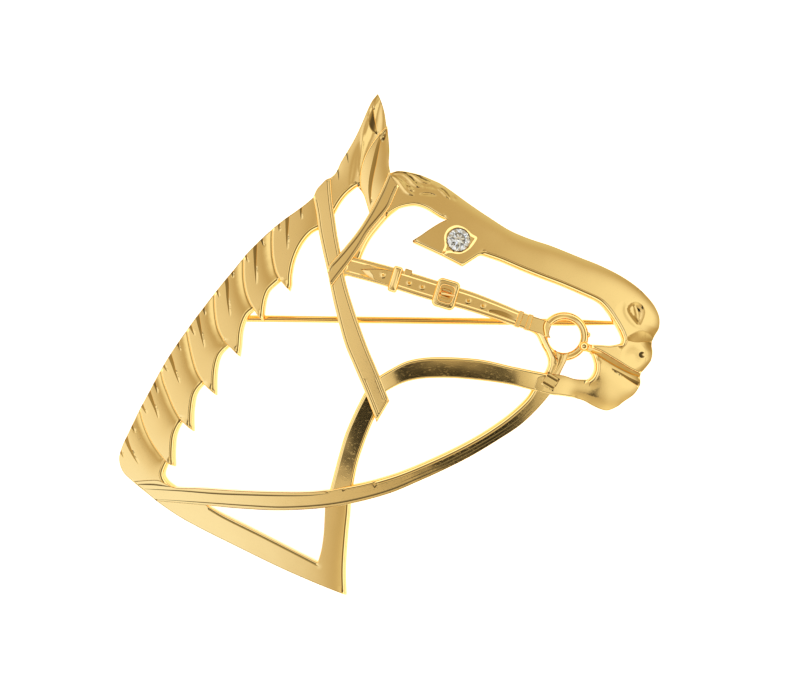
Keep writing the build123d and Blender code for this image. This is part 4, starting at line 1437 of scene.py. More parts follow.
@dataclass(frozen=True)
class Noseband(Part):
    """Strap with sunk middle and punched holes, its keeper, buckle and two end bands."""

    top: float = 1.9
    width: float = 2.45
    grid: float = 0.3
    stations: tuple = (
        (340, 263.5, 0.94), (385, 275.5, 0.98), (417, 285.3, 1.0), (444, 293.5, 0.98),
        (470, 301.3, 0.92), (497, 310.8, 0.82), (520, 319.5, 0.73), (541, 326.5, 0.69),
    )
    panels: tuple = ((0.03, 0.262), (0.272, 0.468), (0.562, 0.886))
    panel_share: float = 0.62
    panel_rise: float = -0.09
    panel_rim: float = 0.12
    trough_span: Pair = (0.735, 0.885)
    trough_share: float = 0.3
    trough: Tool = Tool(0.9, -0.1, Section.SCOOP)
    holes: tuple = (0.335, 0.4, 0.625, 0.70)
    hole_radius: float = 0.2
    hole_rise: float = -0.2
    hole_lip: Pair = (1.8, 0.035)
    tongue_hole: float = 0.205
    tongue_lip: Pair = (1.7, 0.05)
    tongue_rise: float = 0.1
    tip_rise: float = 0.12
    tip_grid: float = 0.2
    tip_tilt: float = 0.25
    tip_reach: float = 1.4
    fitting_grid: float = 0.25
    keeper_at: float = 0.265
    keeper_shift: float = -0.08
    keeper_size: tuple = (Edge.BEVEL, 1.12, 0.34, 0.36, 0.3)
    block_ahead: float = 0.045
    block_shift: Pair = (0.12, -0.1)
    block_rise: float = 0.12
    block: RoundedBox = RoundedBox(0.9, 0.75, 0.12)
    bands_at: tuple = (0.888, 0.937)
    band_size: tuple = (Edge.STRAP, 0.58, 0.1, 0.2, 0.12)
    buckle_at: float = 0.515
    frame_rise: float = 0.34
    frame_outer: RoundedBox = RoundedBox(2.8, 3.5, 0.62)
    frame_inner: RoundedBox = RoundedBox(1.62, 1.95, 0.42)
    frame_inner_shift: Spot = (0.02, 0.0)
    bed_rise: float = -0.35
    bed: RoundedBox = RoundedBox(2.0, 2.4, 0.3)
    loop_rise: float = 0.16
    loop_grid: float = 0.2
    loop_box: RoundedBox = RoundedBox(1.5, 1.25, 0.5)
    loop_shift: Spot = (-0.1, 0.0)
    loop_groove: Tool = Tool(0.7, -0.3, taper=Taper.EVEN)
    groove_line: tuple = ((-0.5, 0.0), (0.7, 0.0))
    prong: tuple = ((-0.55, -0.12, 0.12), (0.2, -0.03, 0.2), (1.1, 0.05, 0.3))
    prong_radii: Pair = (0.17, 0.13)

    def middle(self) -> Points:
        """Line along the middle of the strap."""
        return self.line(*[station[:2] for station in self.stations])

    def width_at(self, share: float) -> float:
        """Width of the strap at a share of its length.

        Args:
            share: the share, from the cheekpiece.

        Returns:
            The width.
        """
        columns = np.array([station[0] for station in self.stations], float)
        shares = (columns - columns[0]) / (columns[-1] - columns[0])
        widths = [station[2] for station in self.stations]
        return self.width * float(np.interp(share, shares, widths))

    def edges(self, start: float, end: float, share: float) -> list[Points]:
        """The two borders of a strip along the strap.

        Args:
            start: where the strip begins, as a share of the strap's length.
            end: where it ends.
            share: its width as a share of the strap's.

        Returns:
            The upper border, and the lower one running back.
        """
        part = between(self.middle(), start, end)
        places = np.linspace(start, end, len(part))
        half = np.array([self.width_at(place) for place in places])[:, None] / 2 * share
        side = offset_line(part, 1.0) - part
        return [part + side * half, (part - side * half)[::-1]]

    def turn_at(self, share: float) -> Matrix:
        """Placing of a fitting on the strap.

        Args:
            share: where it sits, as a share of the strap's length.

        Returns:
            The move from the origin, with x along the strap.
        """
        middle = self.middle()
        place = min(int(share * (len(middle) - 1)), len(middle) - 2)
        ahead = middle[place + 1] - middle[place]
        spot = middle[place] + ahead * (share * (len(middle) - 1) - place)
        turn = Matrix.Rotation(math.atan2(ahead[1], ahead[0]), 4, "Z")
        return Matrix.Translation((*spot, 0)) @ turn

    def hole(self, share: float, lip: Pair) -> list[Dimple]:
        """A punched hole with its raised lip.

        Args:
            share: where it sits, as a share of the strap's length.
            lip: how much wider than the hole the lip is, and its height.

        Returns:
            The lip and the hole.
        """
        spot = np.array(self.turn_at(share).translation)[:2]
        return [Dimple(spot, self.hole_radius * lip[0], lip[1]),
                Dimple(spot, self.hole_radius, self.hole_rise, Section.VEE)]

    def plates(self) -> list[Plate]:
        """Builds the strap and the pointed tongue that lies on it.

        Returns:
            The strap, the tongue and the tongue's tip.
        """
        upper, lower = self.edges(0, 1, 1)
        sides = [Side(Edge.STRAP, upper), Side(Edge.HIDDEN, np.array([upper[-1], lower[0]])),
                 Side(Edge.STRAP, lower), Side(Edge.HIDDEN, np.array([lower[-1], upper[0]]))]
        reliefs = []
        for start, end in self.panels:
            loop = np.vstack(self.edges(start, end, self.panel_share))
            reliefs.append(Pool(loop, self.panel_rise, self.panel_rim))
        for share in self.holes:
            reliefs += self.hole(share, self.hole_lip)
        reliefs.append(Mark(self.edges(*self.trough_span, self.trough_share)[1], self.trough))
        strap = Plate("noseband", sides, self.top, reliefs, grid=self.grid)
        tongue_sides = self.outline(
            (Edge.STEP, (360.5, 269.3), (366, 275), (375, 280), (386, 284.6), (392, 286.4)),
            (Edge.HIDDEN, (392, 286.4), (396, 272)),
            (Edge.STEP, (396, 272), (386, 269.8), (374, 269), (360.5, 269.3)),
        )
        tongue = Plate("noseband_tongue", tongue_sides, self.top + self.tongue_rise,
                       self.hole(self.tongue_hole, self.tongue_lip), grid=self.grid)
        tip_sides = self.outline(
            (Edge.STEP, (360.5, 269.3), (366, 275), (374.5, 280.5)),
            (Edge.STEP, (374.5, 280.5), (373.5, 275.5), (369.5, 270.5)),
            (Edge.STEP, (369.5, 270.5), (360.5, 269.3)),
        )
        tip = Plate("noseband_tip", tip_sides, self.top + self.tip_rise,
                    [Slope(tip_sides[0].line, self.tip_tilt, self.tip_reach)], grid=self.tip_grid)
        return [strap, tongue, tip]

    def fittings(self) -> list[Solid]:
        """Builds the fittings on the strap.

        Returns:
            Keeper, its block, both end bands, and the buckle's pieces.
        """
        keeper = self.fitting("keeper", self.keeper_size)
        found = [keeper.moved(self.turn_at(self.keeper_at)
                              @ Matrix.Translation((0, self.keeper_shift, 0)))]
        block = Plate("keeper_block", [closed_side(Edge.STEP, self.block.loop())],
                      self.top + self.block_rise).solid()
        shift = (self.block_shift[0], self.width / 2 + self.block_shift[1], 0)
        found.append(block.moved(self.turn_at(self.keeper_at + self.block_ahead)
                                 @ Matrix.Translation(shift)))
        for share in self.bands_at:
            band = self.fitting("end_band", self.band_size, self.width_at(share) / self.width)
            found.append(band.moved(self.turn_at(share)))
        return found + self.buckle()

    def fitting(self, name: str, size: tuple, share: float = 1.0) -> Solid:
        """Loop round the strap, as a crowned block across it.

        Args:
            name: name of the solid.
            size: how its border is rolled, its length along the strap, how far it stands out
                past the strap, its height over the strap, and the radius of its corners.
            share: the strap's width there, as a share of its full width.

        Returns:
            The block, with the strap's middle at the origin and running along x.
        """
        edge, length, overhang, rise, corner = size
        loop = RoundedBox(length, self.width * share + 2 * overhang, corner).loop()
        return Plate(name, [closed_side(edge, loop)], self.top + rise,
                     grid=self.fitting_grid).solid()

    def buckle(self) -> list[Solid]:
        """Builds the rounded frame with its prong over the strap.

        Returns:
            Frame, bed, loop and prong.
        """
        inner = self.frame_inner.loop() + self.frame_inner_shift
        frame = Plate("buckle_frame", [closed_side(Edge.BEVEL, self.frame_outer.loop())],
                      self.top + self.frame_rise, [], [[closed_side(Edge.STRAP, inner)]], self.grid)
        bed = Plate("buckle_bed", [closed_side(Edge.HIDDEN, self.bed.loop())],
                    self.top + self.bed_rise)
        rolled = closed_side(Edge.ROLL, self.loop_box.loop() + self.loop_shift)
        loop = Plate("buckle_loop", [rolled], self.top + self.loop_rise,
                     [Mark(np.array(self.groove_line), self.loop_groove)], grid=self.loop_grid)
        path = [(x, y, self.top + rise) for x, y, rise in self.prong]
        prong = tube_solid("buckle_prong", path, *self.prong_radii)
        turn = self.turn_at(self.buckle_at)
        return [piece.moved(turn) for piece in (frame.solid(), bed.solid(), loop.solid(), prong)]


def tube_solid(name: str, path: list, start: float, end: float, sides: int = 14) -> Solid:
    """Round bar along a path with flat ends.

    Args:
        name: name of the solid.
        path: points that its middle passes through.
        start: radius at the first point.
        end: radius at the last point.
        sides: number of faces round it.

    Returns:
        The closed bar.
    """
    line = smooth_line(np.array(path, float), TUBE_STEP)
    ahead = np.gradient(line, axis=0)
    points, faces = [], []
    for index, (spot, along) in enumerate(zip(line, ahead)):
        across = Vector(along).normalized().to_track_quat("Z", "Y").to_matrix()
        radius = start + (end - start) * index / (len(line) - 1)
        for side in range(sides):
            angle = 2 * math.pi * side / sides
            offset = across @ Vector((math.cos(angle), math.sin(angle), 0)) * radius
            points.append(tuple(Vector(spot) + offset))
    for ring in range(len(line) - 1):
        for side in range(sides):
            a, b = ring * sides + side, ring * sides + (side + 1) % sides
            faces.append((a, b, b + sides, a + sides))
    faces.append(tuple(reversed(range(sides))))
    faces.append(tuple(range((len(line) - 1) * sides, len(line) * sides)))
    return Solid(name, np.array(points), faces)


def ball_solid(name: str, centre: tuple, radius: float, rings: int = 16) -> Solid:
    """Round ball.

    Args:
        name: name of the solid.
        centre: its middle.
        radius: its radius.
        rings: number of bands of faces from pole to pole.

    Returns:
        The closed ball.
    """
    work = bmesh.new()
    bmesh.ops.create_uvsphere(work, u_segments=2 * rings, v_segments=rings, radius=radius)
    points = np.array([tuple(corner.co) for corner in work.verts]) + centre
    faces = [tuple(corner.index for corner in face.verts) for face in work.faces]
    work.free()
    return Solid(name, points, faces)


def ring_solid(name: str, centre: tuple, radius: float, wire: float) -> Solid:
    """Round wire ring lying flat.

    Args:
        name: name of the solid.
        centre: its middle.
        radius: radius of the wire's own middle.
        wire: thickness of the wire.

    Returns:
        The closed ring.
    """
    turns, sides = 72, 20
    points, faces = [], []
    for turn in range(turns):
        angle = 2 * math.pi * turn / turns
        for side in range(sides):
            around = 2 * math.pi * side / sides
            reach = radius + wire / 2 * math.cos(around)
            points.append((reach * math.cos(angle), reach * math.sin(angle),
                           wire / 2 * math.sin(around)))
            following, beside = (turn + 1) % turns * sides, (side + 1) % sides
            faces.append((turn * sides + side, following + side, following + beside,
                          turn * sides + beside))
    return Solid(name, np.array(points) + centre, faces)


@dataclass(frozen=True)
class Bit(Part):
    """Bit ring with its ball and mouth bar, and the strap ends, curb bar and keeper at it."""

    grid: float = 0.3
    end_top: float = 1.9
    end_seam: Tool = Tool(0.3, -0.12, taper=Taper.EVEN)
    curb_top: float = 1.55
    curb_grid: float = 0.35
    strap_top: float = 1.88
    strap_trough: Tool = Tool(0.95, -0.06, taper=Taper.EVEN)
    keeper_top: float = 2.3
    keeper_cut: Tool = Tool(0.26, -0.032, Section.VEE, Taper.EVEN)
    lug_top: float = 2.08
    ring_at: Spot = (564.4, 336.3)
    radius: float = 2.43
    wire: float = 0.95
    level: float = 0.98
    ball_angle: float = -27.0
    ball: float = 1.22
    ball_out: float = 0.2
    mouth_at: Spot = (604, 353)
    mouth_levels: tuple = (0.95, 0.93, 0.9)
    mouth_radii: Pair = (0.5, 0.45)
    bead_out: float = 0.42
    bead_way: Pair = (0.98, 0.06)
    bead_level: float = 0.9
    bead_radius: float = 0.36
    bead_rings: int = 10

    def plates(self) -> list[Plate]:
        """Builds the flat pieces round the ring.

        Returns:
            The noseband's end, the curb bar, the rein's strap, its keeper and its lug.
        """
        end = self.outline(
            (Edge.ROLL, (528, 314.6), (536, 317.6), (544, 320)),
            (Edge.ROLL, (544, 320), (548.5, 322), (551, 325), (549.5, 330), (549, 335), (550.5, 338)),
            (Edge.ROLL, (550.5, 338), (545, 337), (540, 334), (531, 331), (523, 328.4)),
            (Edge.HIDDEN, (523, 328.4), (528, 314.6)),
        )
        seam = self.line((546, 319.5), (543.6, 326), (545, 337))
        curb = self.outline(
            (Edge.WALL, (525, 329.5), (532, 332), (537, 335.5), (541, 343.5), (546.5, 354), (548.7, 361.5),
             (547.5, 368), (543, 376)),
            (Edge.HIDDEN, (543, 376), (556, 378)),
            (Edge.ROLL, (556, 378), (558.5, 368), (557.5, 361), (552.5, 352), (548, 343), (544.5, 335)),
            (Edge.HIDDEN, (544.5, 335), (538, 328), (525, 329.5)),
        )
        strap = [
            self.side(Edge.ROLL, (555, 350), (557.5, 361), (555.5, 368), (551, 376), (547, 382)),
            self.side(Edge.HIDDEN, (547, 382), (555, 387)),
            self.side(Edge.ROLL, (555, 387), (559, 376), (563, 367), (566.5, 360), (568.5, 352)),
            self.side(Edge.ROLL, (568.5, 352), (562, 354.5), (555, 350)),
        ]
        trough = self.line((564, 352), (561, 362), (555, 373), (551, 382))
        keeper = self.outline(
            (Edge.STEP, (548, 371.5), (540.5, 384)),
            (Edge.STEP, (540.5, 384), (552.5, 391.5)),
            (Edge.STEP, (552.5, 391.5), (559.5, 379)),
            (Edge.STEP, (559.5, 379), (548, 371.5)),
        )
        cuts = [[(546.6, 375), (557, 381)], [(542.6, 381.8), (553.2, 388)]]
        lug = self.outline(
            (Edge.STEP, (546, 376), (538, 377), (535, 383), (533.5, 389)),
            (Edge.HIDDEN, (533.5, 389), (541, 391), (546, 376)),
        )
        marks = [Mark(self.line(*cut), self.keeper_cut) for cut in cuts]
        return [
            Plate("strap_end", end, self.end_top, [Mark(seam, self.end_seam)], grid=self.grid),
            Plate("curb_bar", curb, self.curb_top, grid=self.curb_grid),
            Plate("rein_strap", strap, self.strap_top, [Mark(trough, self.strap_trough)],
                  grid=self.grid),
            Plate("rein_keeper", keeper, self.keeper_top, marks, grid=self.grid),
            Plate("rein_lug", lug, self.lug_top, grid=self.grid),
        ]

    def fittings(self) -> list[Solid]:
        """Builds the round pieces.

        Returns:
            Ring, ball, mouth bar and the bead on the ring.
        """
        centre = self.layout.spot(self.ring_at)
        angle = math.radians(self.ball_angle)
        ball = centre + np.array([math.cos(angle), math.sin(angle)]) * (self.radius + self.ball_out)
        bead = centre + (self.radius + self.bead_out) * np.array(self.bead_way)
        mouth = self.layout.spot(self.mouth_at)
        spots = (ball, (ball + mouth) / 2, mouth)
        bar = [(*spot, level) for spot, level in zip(spots, self.mouth_levels)]
        return [
            ring_solid("bit_ring", (*centre, self.level), self.radius, self.wire),
            ball_solid("bit_ball", (*ball, self.level + self.ball_out), self.ball / 2),
            tube_solid("mouth_bar", bar, *self.mouth_radii),
            ball_solid("ring_bead", (*bead, self.bead_level), self.bead_radius, self.bead_rings),
        ]


@dataclass(frozen=True)
class Findings(Part):
    """Hinge ears and open hook catch on the back, for the wire pin."""

    grid: float = 0.4
    knuckle_radius: float = 0.95
    knuckle_width: float = 1.0
    knuckle_gap: float = 0.06
    ear_plate: float = 0.75
    rivet_hole: float = 0.39
    rivet_hole_sides: int = 20
    sink: float = 0.3
    catch_length: float = 1.8
    catch_inner: float = 0.52
    catch_post: float = 1.5

    def pin_turn(self) -> tuple[Matrix, float]:
        """Placing of the hinge.

        Returns:
            The move from the origin, with x towards the catch, and the distance to the catch.
        """
        hinge, catch = self.layout.flat([HINGE_AT, CATCH_AT])
        ahead = catch - hinge
        turn = Matrix.Rotation(math.atan2(ahead[1], ahead[0]), 4, "Z")
        return Matrix.Translation((*hinge, -PIN_DEPTH)) @ turn, float(np.linalg.norm(ahead))

    def fittings(self) -> list[Solid]:
        """Both ears and the catch."""
        return self.hinge_ears() + [self.catch()]

    def hinge_ears(self) -> list[Solid]:
        """Builds the two upright plates that hold the rivet.

        Returns:
            Both ears.
        """
        height = PIN_DEPTH + self.sink
        outline = np.vstack([
            arc((0, 0), self.knuckle_radius, 180, 360, ARC_STEPS),
            [(self.knuckle_radius, height), (-self.knuckle_radius, height)]])
        hole = circle(np.zeros(2), self.rivet_hole, self.rivet_hole_sides)
        ear = Plate("hinge_ear", [closed_side(Edge.STEP, outline)], self.ear_plate, [],
                    [[closed_side(Edge.HIDDEN, hole)]], self.grid).solid()
        turn, _ = self.pin_turn()
        upright = Matrix.Rotation(math.pi / 2, 4, "X")
        found = []
        for side in (-1, 1):
            middle = side * (self.knuckle_width / 2 + self.knuckle_gap + self.ear_plate / 2)
            shift = Matrix.Translation((0, middle + self.ear_plate / 2, 0))
            found.append(ear.moved(turn @ shift @ upright))
        return found

    def catch(self) -> Solid:
        """Builds the open hook that holds the stem's end.

        Returns:
            The hook on its post.
        """
        height = PIN_DEPTH + self.sink
        outer = math.hypot(self.knuckle_radius, self.catch_inner)
        half = self.catch_post / 2
        lip = math.degrees(math.atan2(self.knuckle_radius, self.catch_inner))
        foot = math.degrees(math.asin(half / outer))
        outline = np.vstack([
            arc((0, 0), outer, -lip, 90 - foot, ARC_STEPS), [(half, height), (-half, height)],
            arc((0, 0), outer, 90 + foot, 180 + lip, ARC_STEPS),
            arc((0, 0), self.catch_inner, 180, 0, ARC_STEPS)])
        hook = Plate("catch", [closed_side(Edge.STEP, outline)], self.catch_length,
                     grid=self.grid).solid()
        turn, reach = self.pin_turn()
        along = Matrix(((0, 0, 1, 0), (1, 0, 0, 0), (0, 1, 0, 0), (0, 0, 0, 1)))
        shift = Matrix.Translation((reach - self.catch_length / 2, 0, 0))
        return hook.moved(turn @ shift @ along)


def set_inputs(node: bpy.types.Node, values: dict) -> None:
    """Gives inputs of a node their values.

    Args:
        node: the node.
        values: value for each input, or the output that it is linked to.
    """
    for key, value in values.items():
        if isinstance(value, Socket):
            node.id_data.links.new(value, node.inputs[key])
        else:
            node.inputs[key].default_value = value


def new_node(tree: bpy.types.NodeTree, kind: str, values: dict,
             **settings: object) -> bpy.types.Node:
    """A new node with some of its inputs and settings given.

    Args:
        tree: the nodes that it joins.
        kind: what kind of node it is.
        values: value for each input, or the output that it is linked to.
        settings: the node's own settings.

    Returns:
        The node.
    """
    made = tree.nodes.new(kind)
    for key, value in settings.items():
        setattr(made, key, value)
    set_inputs(made, values)
    return made


def new_material(name: str, values: dict) -> bpy.types.Material:
    """A material with some values of its shader set.

    Args:
        name: its name.
        values: value for each input of the shader.

    Returns:
        The material.
    """
    made = bpy.data.materials.new(name)
    made.use_nodes = True
    set_inputs(made.node_tree.nodes["Principled BSDF"], values)
    return made


@dataclass(frozen=True)
class PolishedGold:
    """Hand-polished yellow gold with fine wear."""

    name: str = "polished_gold"
    colour: tuple = (1.0, 0.70, 0.27)
    rim_tint: tuple = (1.0, 0.8, 0.55)
    roughness: float = 0.055
    wear: float = 0.04
    wear_span: Pair = (0.58, 0.72)
    swell: float = 0.000008
    swell_scale: float = 260
    swell_detail: float = 1.0
    scratch: float = 0.0000002
    scratch_scale: tuple = (2600, 5200, 2600)
    scratch_angle: float = 35.0
    scratch_detail: float = 2.0

    def material(self) -> bpy.types.Material:
        """Makes the finish.

        Returns:
            The material.
        """
        made = new_material(self.name, {"Base Color": (*self.colour, 1), "Metallic": 1.0,
                                        "Specular Tint": (*self.rim_tint, 1)})
        tree = made.node_tree
        place = new_node(tree, "ShaderNodeTexCoord", {}).outputs["Object"]
        swell = new_node(tree, "ShaderNodeTexNoise", {
            "Vector": place, "Scale": self.swell_scale, "Detail": self.swell_detail})
        stretch = new_node(tree, "ShaderNodeMapping", {
            "Vector": place, "Scale": self.scratch_scale,
            "Rotation": (0, 0, math.radians(self.scratch_angle))})
        fine = new_node(tree, "ShaderNodeTexNoise", {
            "Vector": stretch.outputs["Vector"], "Scale": 1.0, "Detail": self.scratch_detail})
        worn = new_node(tree, "ShaderNodeMapRange", {
            "Value": fine.outputs["Fac"], "From Min": self.wear_span[0],
            "From Max": self.wear_span[1]}).outputs["Result"]
        dull = new_node(tree, "ShaderNodeMapRange", {
            "Value": worn, "To Min": self.roughness, "To Max": self.roughness + self.wear})
        broad = new_node(tree, "ShaderNodeBump", {
            "Strength": 1.0, "Distance": self.swell, "Height": swell.outputs["Fac"]})
        scratched = new_node(tree, "ShaderNodeBump", {
            "Strength": 1.0, "Distance": self.scratch, "Height": worn,
            "Normal": broad.outputs["Normal"]})
        set_inputs(tree.nodes["Principled BSDF"], {
            "Roughness": dull.outputs["Result"], "Normal": scratched.outputs["Normal"]})
        return made


@dataclass(frozen=True)
class ClearStone:
    """Colourless cut stone of high fire."""

    name: str = "clear_stone"
    colour: tuple = (1.0, 0.99, 0.93)
    index: float = 2.42

    def material(self) -> bpy.types.Material:
        """The finish as a material."""
        return new_material(self.name, {"Base Color": (*self.colour, 1), "Roughness": 0.0,
                                        "IOR": self.index, "Transmission Weight": 1.0})


@dataclass(frozen=True)
class PaleFloor:
    """Even pale studio surface."""

    name: str = "pale_floor"
    shade: float = 0.9
    roughness: float = 0.9
    gloss: float = 0.1
    lit: float = 0.75

    def material(self) -> bpy.types.Material:
        """Makes the finish.

        Returns:
            The material.
        """
        return new_material(self.name, {
            "Base Color": (self.shade, self.shade, self.shade, 1),
            "Roughness": self.roughness,
            "Specular IOR Level": self.gloss,
            "Emission Color": (1, 1, 1, 1),
            "Emission Strength": self.lit,
        })


@dataclass(frozen=True)
class HorseHead:
    """The pierced head: every relief plate and fitting, fused into one soldered piece."""

    layout: Layout
    finish: PolishedGold

    def solids(self) -> list[Solid]:
        """Builds every sub-assembly.

        Returns:
            Every plate and fitting as a closed solid.
        """
        parts = (Mane, Ear, Face, JawAndChin, NeckAndBreast, Rein, Headstall, Noseband, Bit,
                 Findings)
        return [solid for part in parts for solid in part(self.layout).solids()]

    def fused(self) -> bpy.types.Mesh:
        """Joins the solids where they meet.

        Returns:
            One mesh, in the flat head's millimetres.
        """
        objects = [solid.object() for solid in self.solids()]
        base = objects[0]
        for other in objects[1:]:
            fuse = base.modifiers.new(other.name, "BOOLEAN")
            fuse.operation = "UNION"
            fuse.solver = "MANIFOLD"
            fuse.object = other
        graph = bpy.context.evaluated_depsgraph_get()
        mesh = bpy.data.meshes.new_from_object(base.evaluated_get(graph))
        for spare in objects:
            bpy.data.objects.remove(spare, do_unlink=True)
        return mesh

    def build(self) -> bpy.types.Object:
        """Makes and dresses the head.

        Returns:
            The head as one object that rides on the head body.
        """
        mesh = self.fused()
        mesh.name = "horse_head_relief"
        mesh.transform(self.layout.turn)
        mesh.shade_smooth()
        mesh.set_sharp_from_angle(angle=SHARP_ANGLE)
        piece = bpy.data.objects.new("horse_head_relief", mesh)
        bpy.context.scene.collection.objects.link(piece)
        mesh.materials.clear()
        mesh.materials.append(self.finish.material())
        flats = piece.modifiers.new("even_flats", "WEIGHTED_NORMAL")
        flats.mode = "FACE_AREA"
        flats.keep_sharp = True
        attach(piece, "head")
        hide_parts("horse_head")
        log.info("horse_head_relief: %d faces", len(mesh.polygons))
        return piece


@dataclass(frozen=True)
class EyeStone:
    """Round brilliant in the eye plate."""

    layout: Layout
    finish: ClearStone
    diameter: float = 2.66
    table_share: float = 0.64
    foot_share: float = 0.27
    crown: float = 0.42
    girdle: float = 0.06
    pavilion: float = 1.08
    level: float = 1.72
    mains: int = 8
    twist: float = 0.2

    def build(self) -> bpy.types.Object:
        """Makes and dresses the stone.

        Returns:
            The stone as one object that rides on the head body.
        """
        solid = Solid("eye_stone_cut", self.corners(), self.facets())
        shift = Matrix.Translation((*self.layout.spot(EYE_AT), 0))
        turn = self.layout.turn @ shift @ Matrix.Rotation(self.twist, 4, "Z")
        piece = solid.moved(turn).object()
        piece.data.materials.append(self.finish.material())
        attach(piece, "head")
        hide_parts("eye_stone")
        log.info("eye_stone_cut: %d facets", len(piece.data.polygons))
        return piece

    def corners(self) -> Points:
        """Works out where the facets meet.

        Returns:
            The corners, ring by ring from the table down, and the point at the bottom.
        """
        radius = self.diameter / 2
        table = radius * self.table_share
        low, high = self.level - self.girdle / 2, self.level + self.girdle / 2
        half = math.pi / self.mains
        star = (table + radius) / 2 / math.cos(half)
        star_level = high + self.crown * (radius - star * math.cos(half)) / (radius - table)
        foot = radius * self.foot_share
        foot_level = low - self.pavilion * (1 - foot * math.cos(half) / radius)
        rings = [
            (table, high + self.crown, self.mains, 0.0), (star, star_level, self.mains, 0.5),
            (radius, high, 2 * self.mains, 0.0), (radius, low, 2 * self.mains, 0.0),
            (foot, foot_level, self.mains, 0.5),
        ]
        points = []
        for reach, level, count, shift in rings:
            for index in range(count):
                angle = 2 * math.pi * (index + shift) / count
                points.append((reach * math.cos(angle), reach * math.sin(angle), level))
        return np.array(points + [(0.0, 0.0, low - self.pavilion)])

    def facets(self) -> list:
        """Joins the corners.

        Returns:
            Table, star, kite and girdle facets above, and girdle and main facets below.
        """
        n = self.mains
        table, star, upper, lower, foot = 0, n, 2 * n, 4 * n, 6 * n
        culet = 7 * n
        found = [tuple(range(table, table + n))]
        for index in range(n):
            after, back = (index + 1) % n, (index - 1) % n
            at, mid, to = 2 * index, 2 * index + 1, (2 * index + 2) % (2 * n)
            found += [
                (table + index, star + index, table + after),
                (table + index, star + back, upper + at, star + index),
                (star + index, upper + at, upper + mid), (star + index, upper + mid, upper + to),
                (upper + at, lower + at, lower + mid, upper + mid),
                (upper + mid, lower + mid, lower + to, upper + to),
                (foot + index, lower + mid, lower + at), (foot + index, lower + to, lower + mid),
                (culet, foot + index, lower + at, foot + back),
            ]
        return found


@dataclass(frozen=True)
class Pin:
    """Wire stem and its rivet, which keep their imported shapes."""

    nodes: dict
    finish: PolishedGold

    def dress(self) -> None:
        """Gives both their gold finish."""
        material = self.finish.material()
        for name in ("pin_stem", "hinge_rivet"):
            mesh = self.nodes[name].data
            mesh.materials.clear()
            mesh.materials.append(material)
            mesh.shade_smooth()
            mesh.set_sharp_from_angle(angle=PIN_SHARP_ANGLE)
            log.info("%s: kept, dressed in %s", name, self.finish.name)


@dataclass(frozen=True)
class Glow:
    """Soft round patch of the tent, pale or dark, whose place and size are slopes."""

    at: Pair
    radius: float
    soft: float
    colour: tuple[float, float, float]


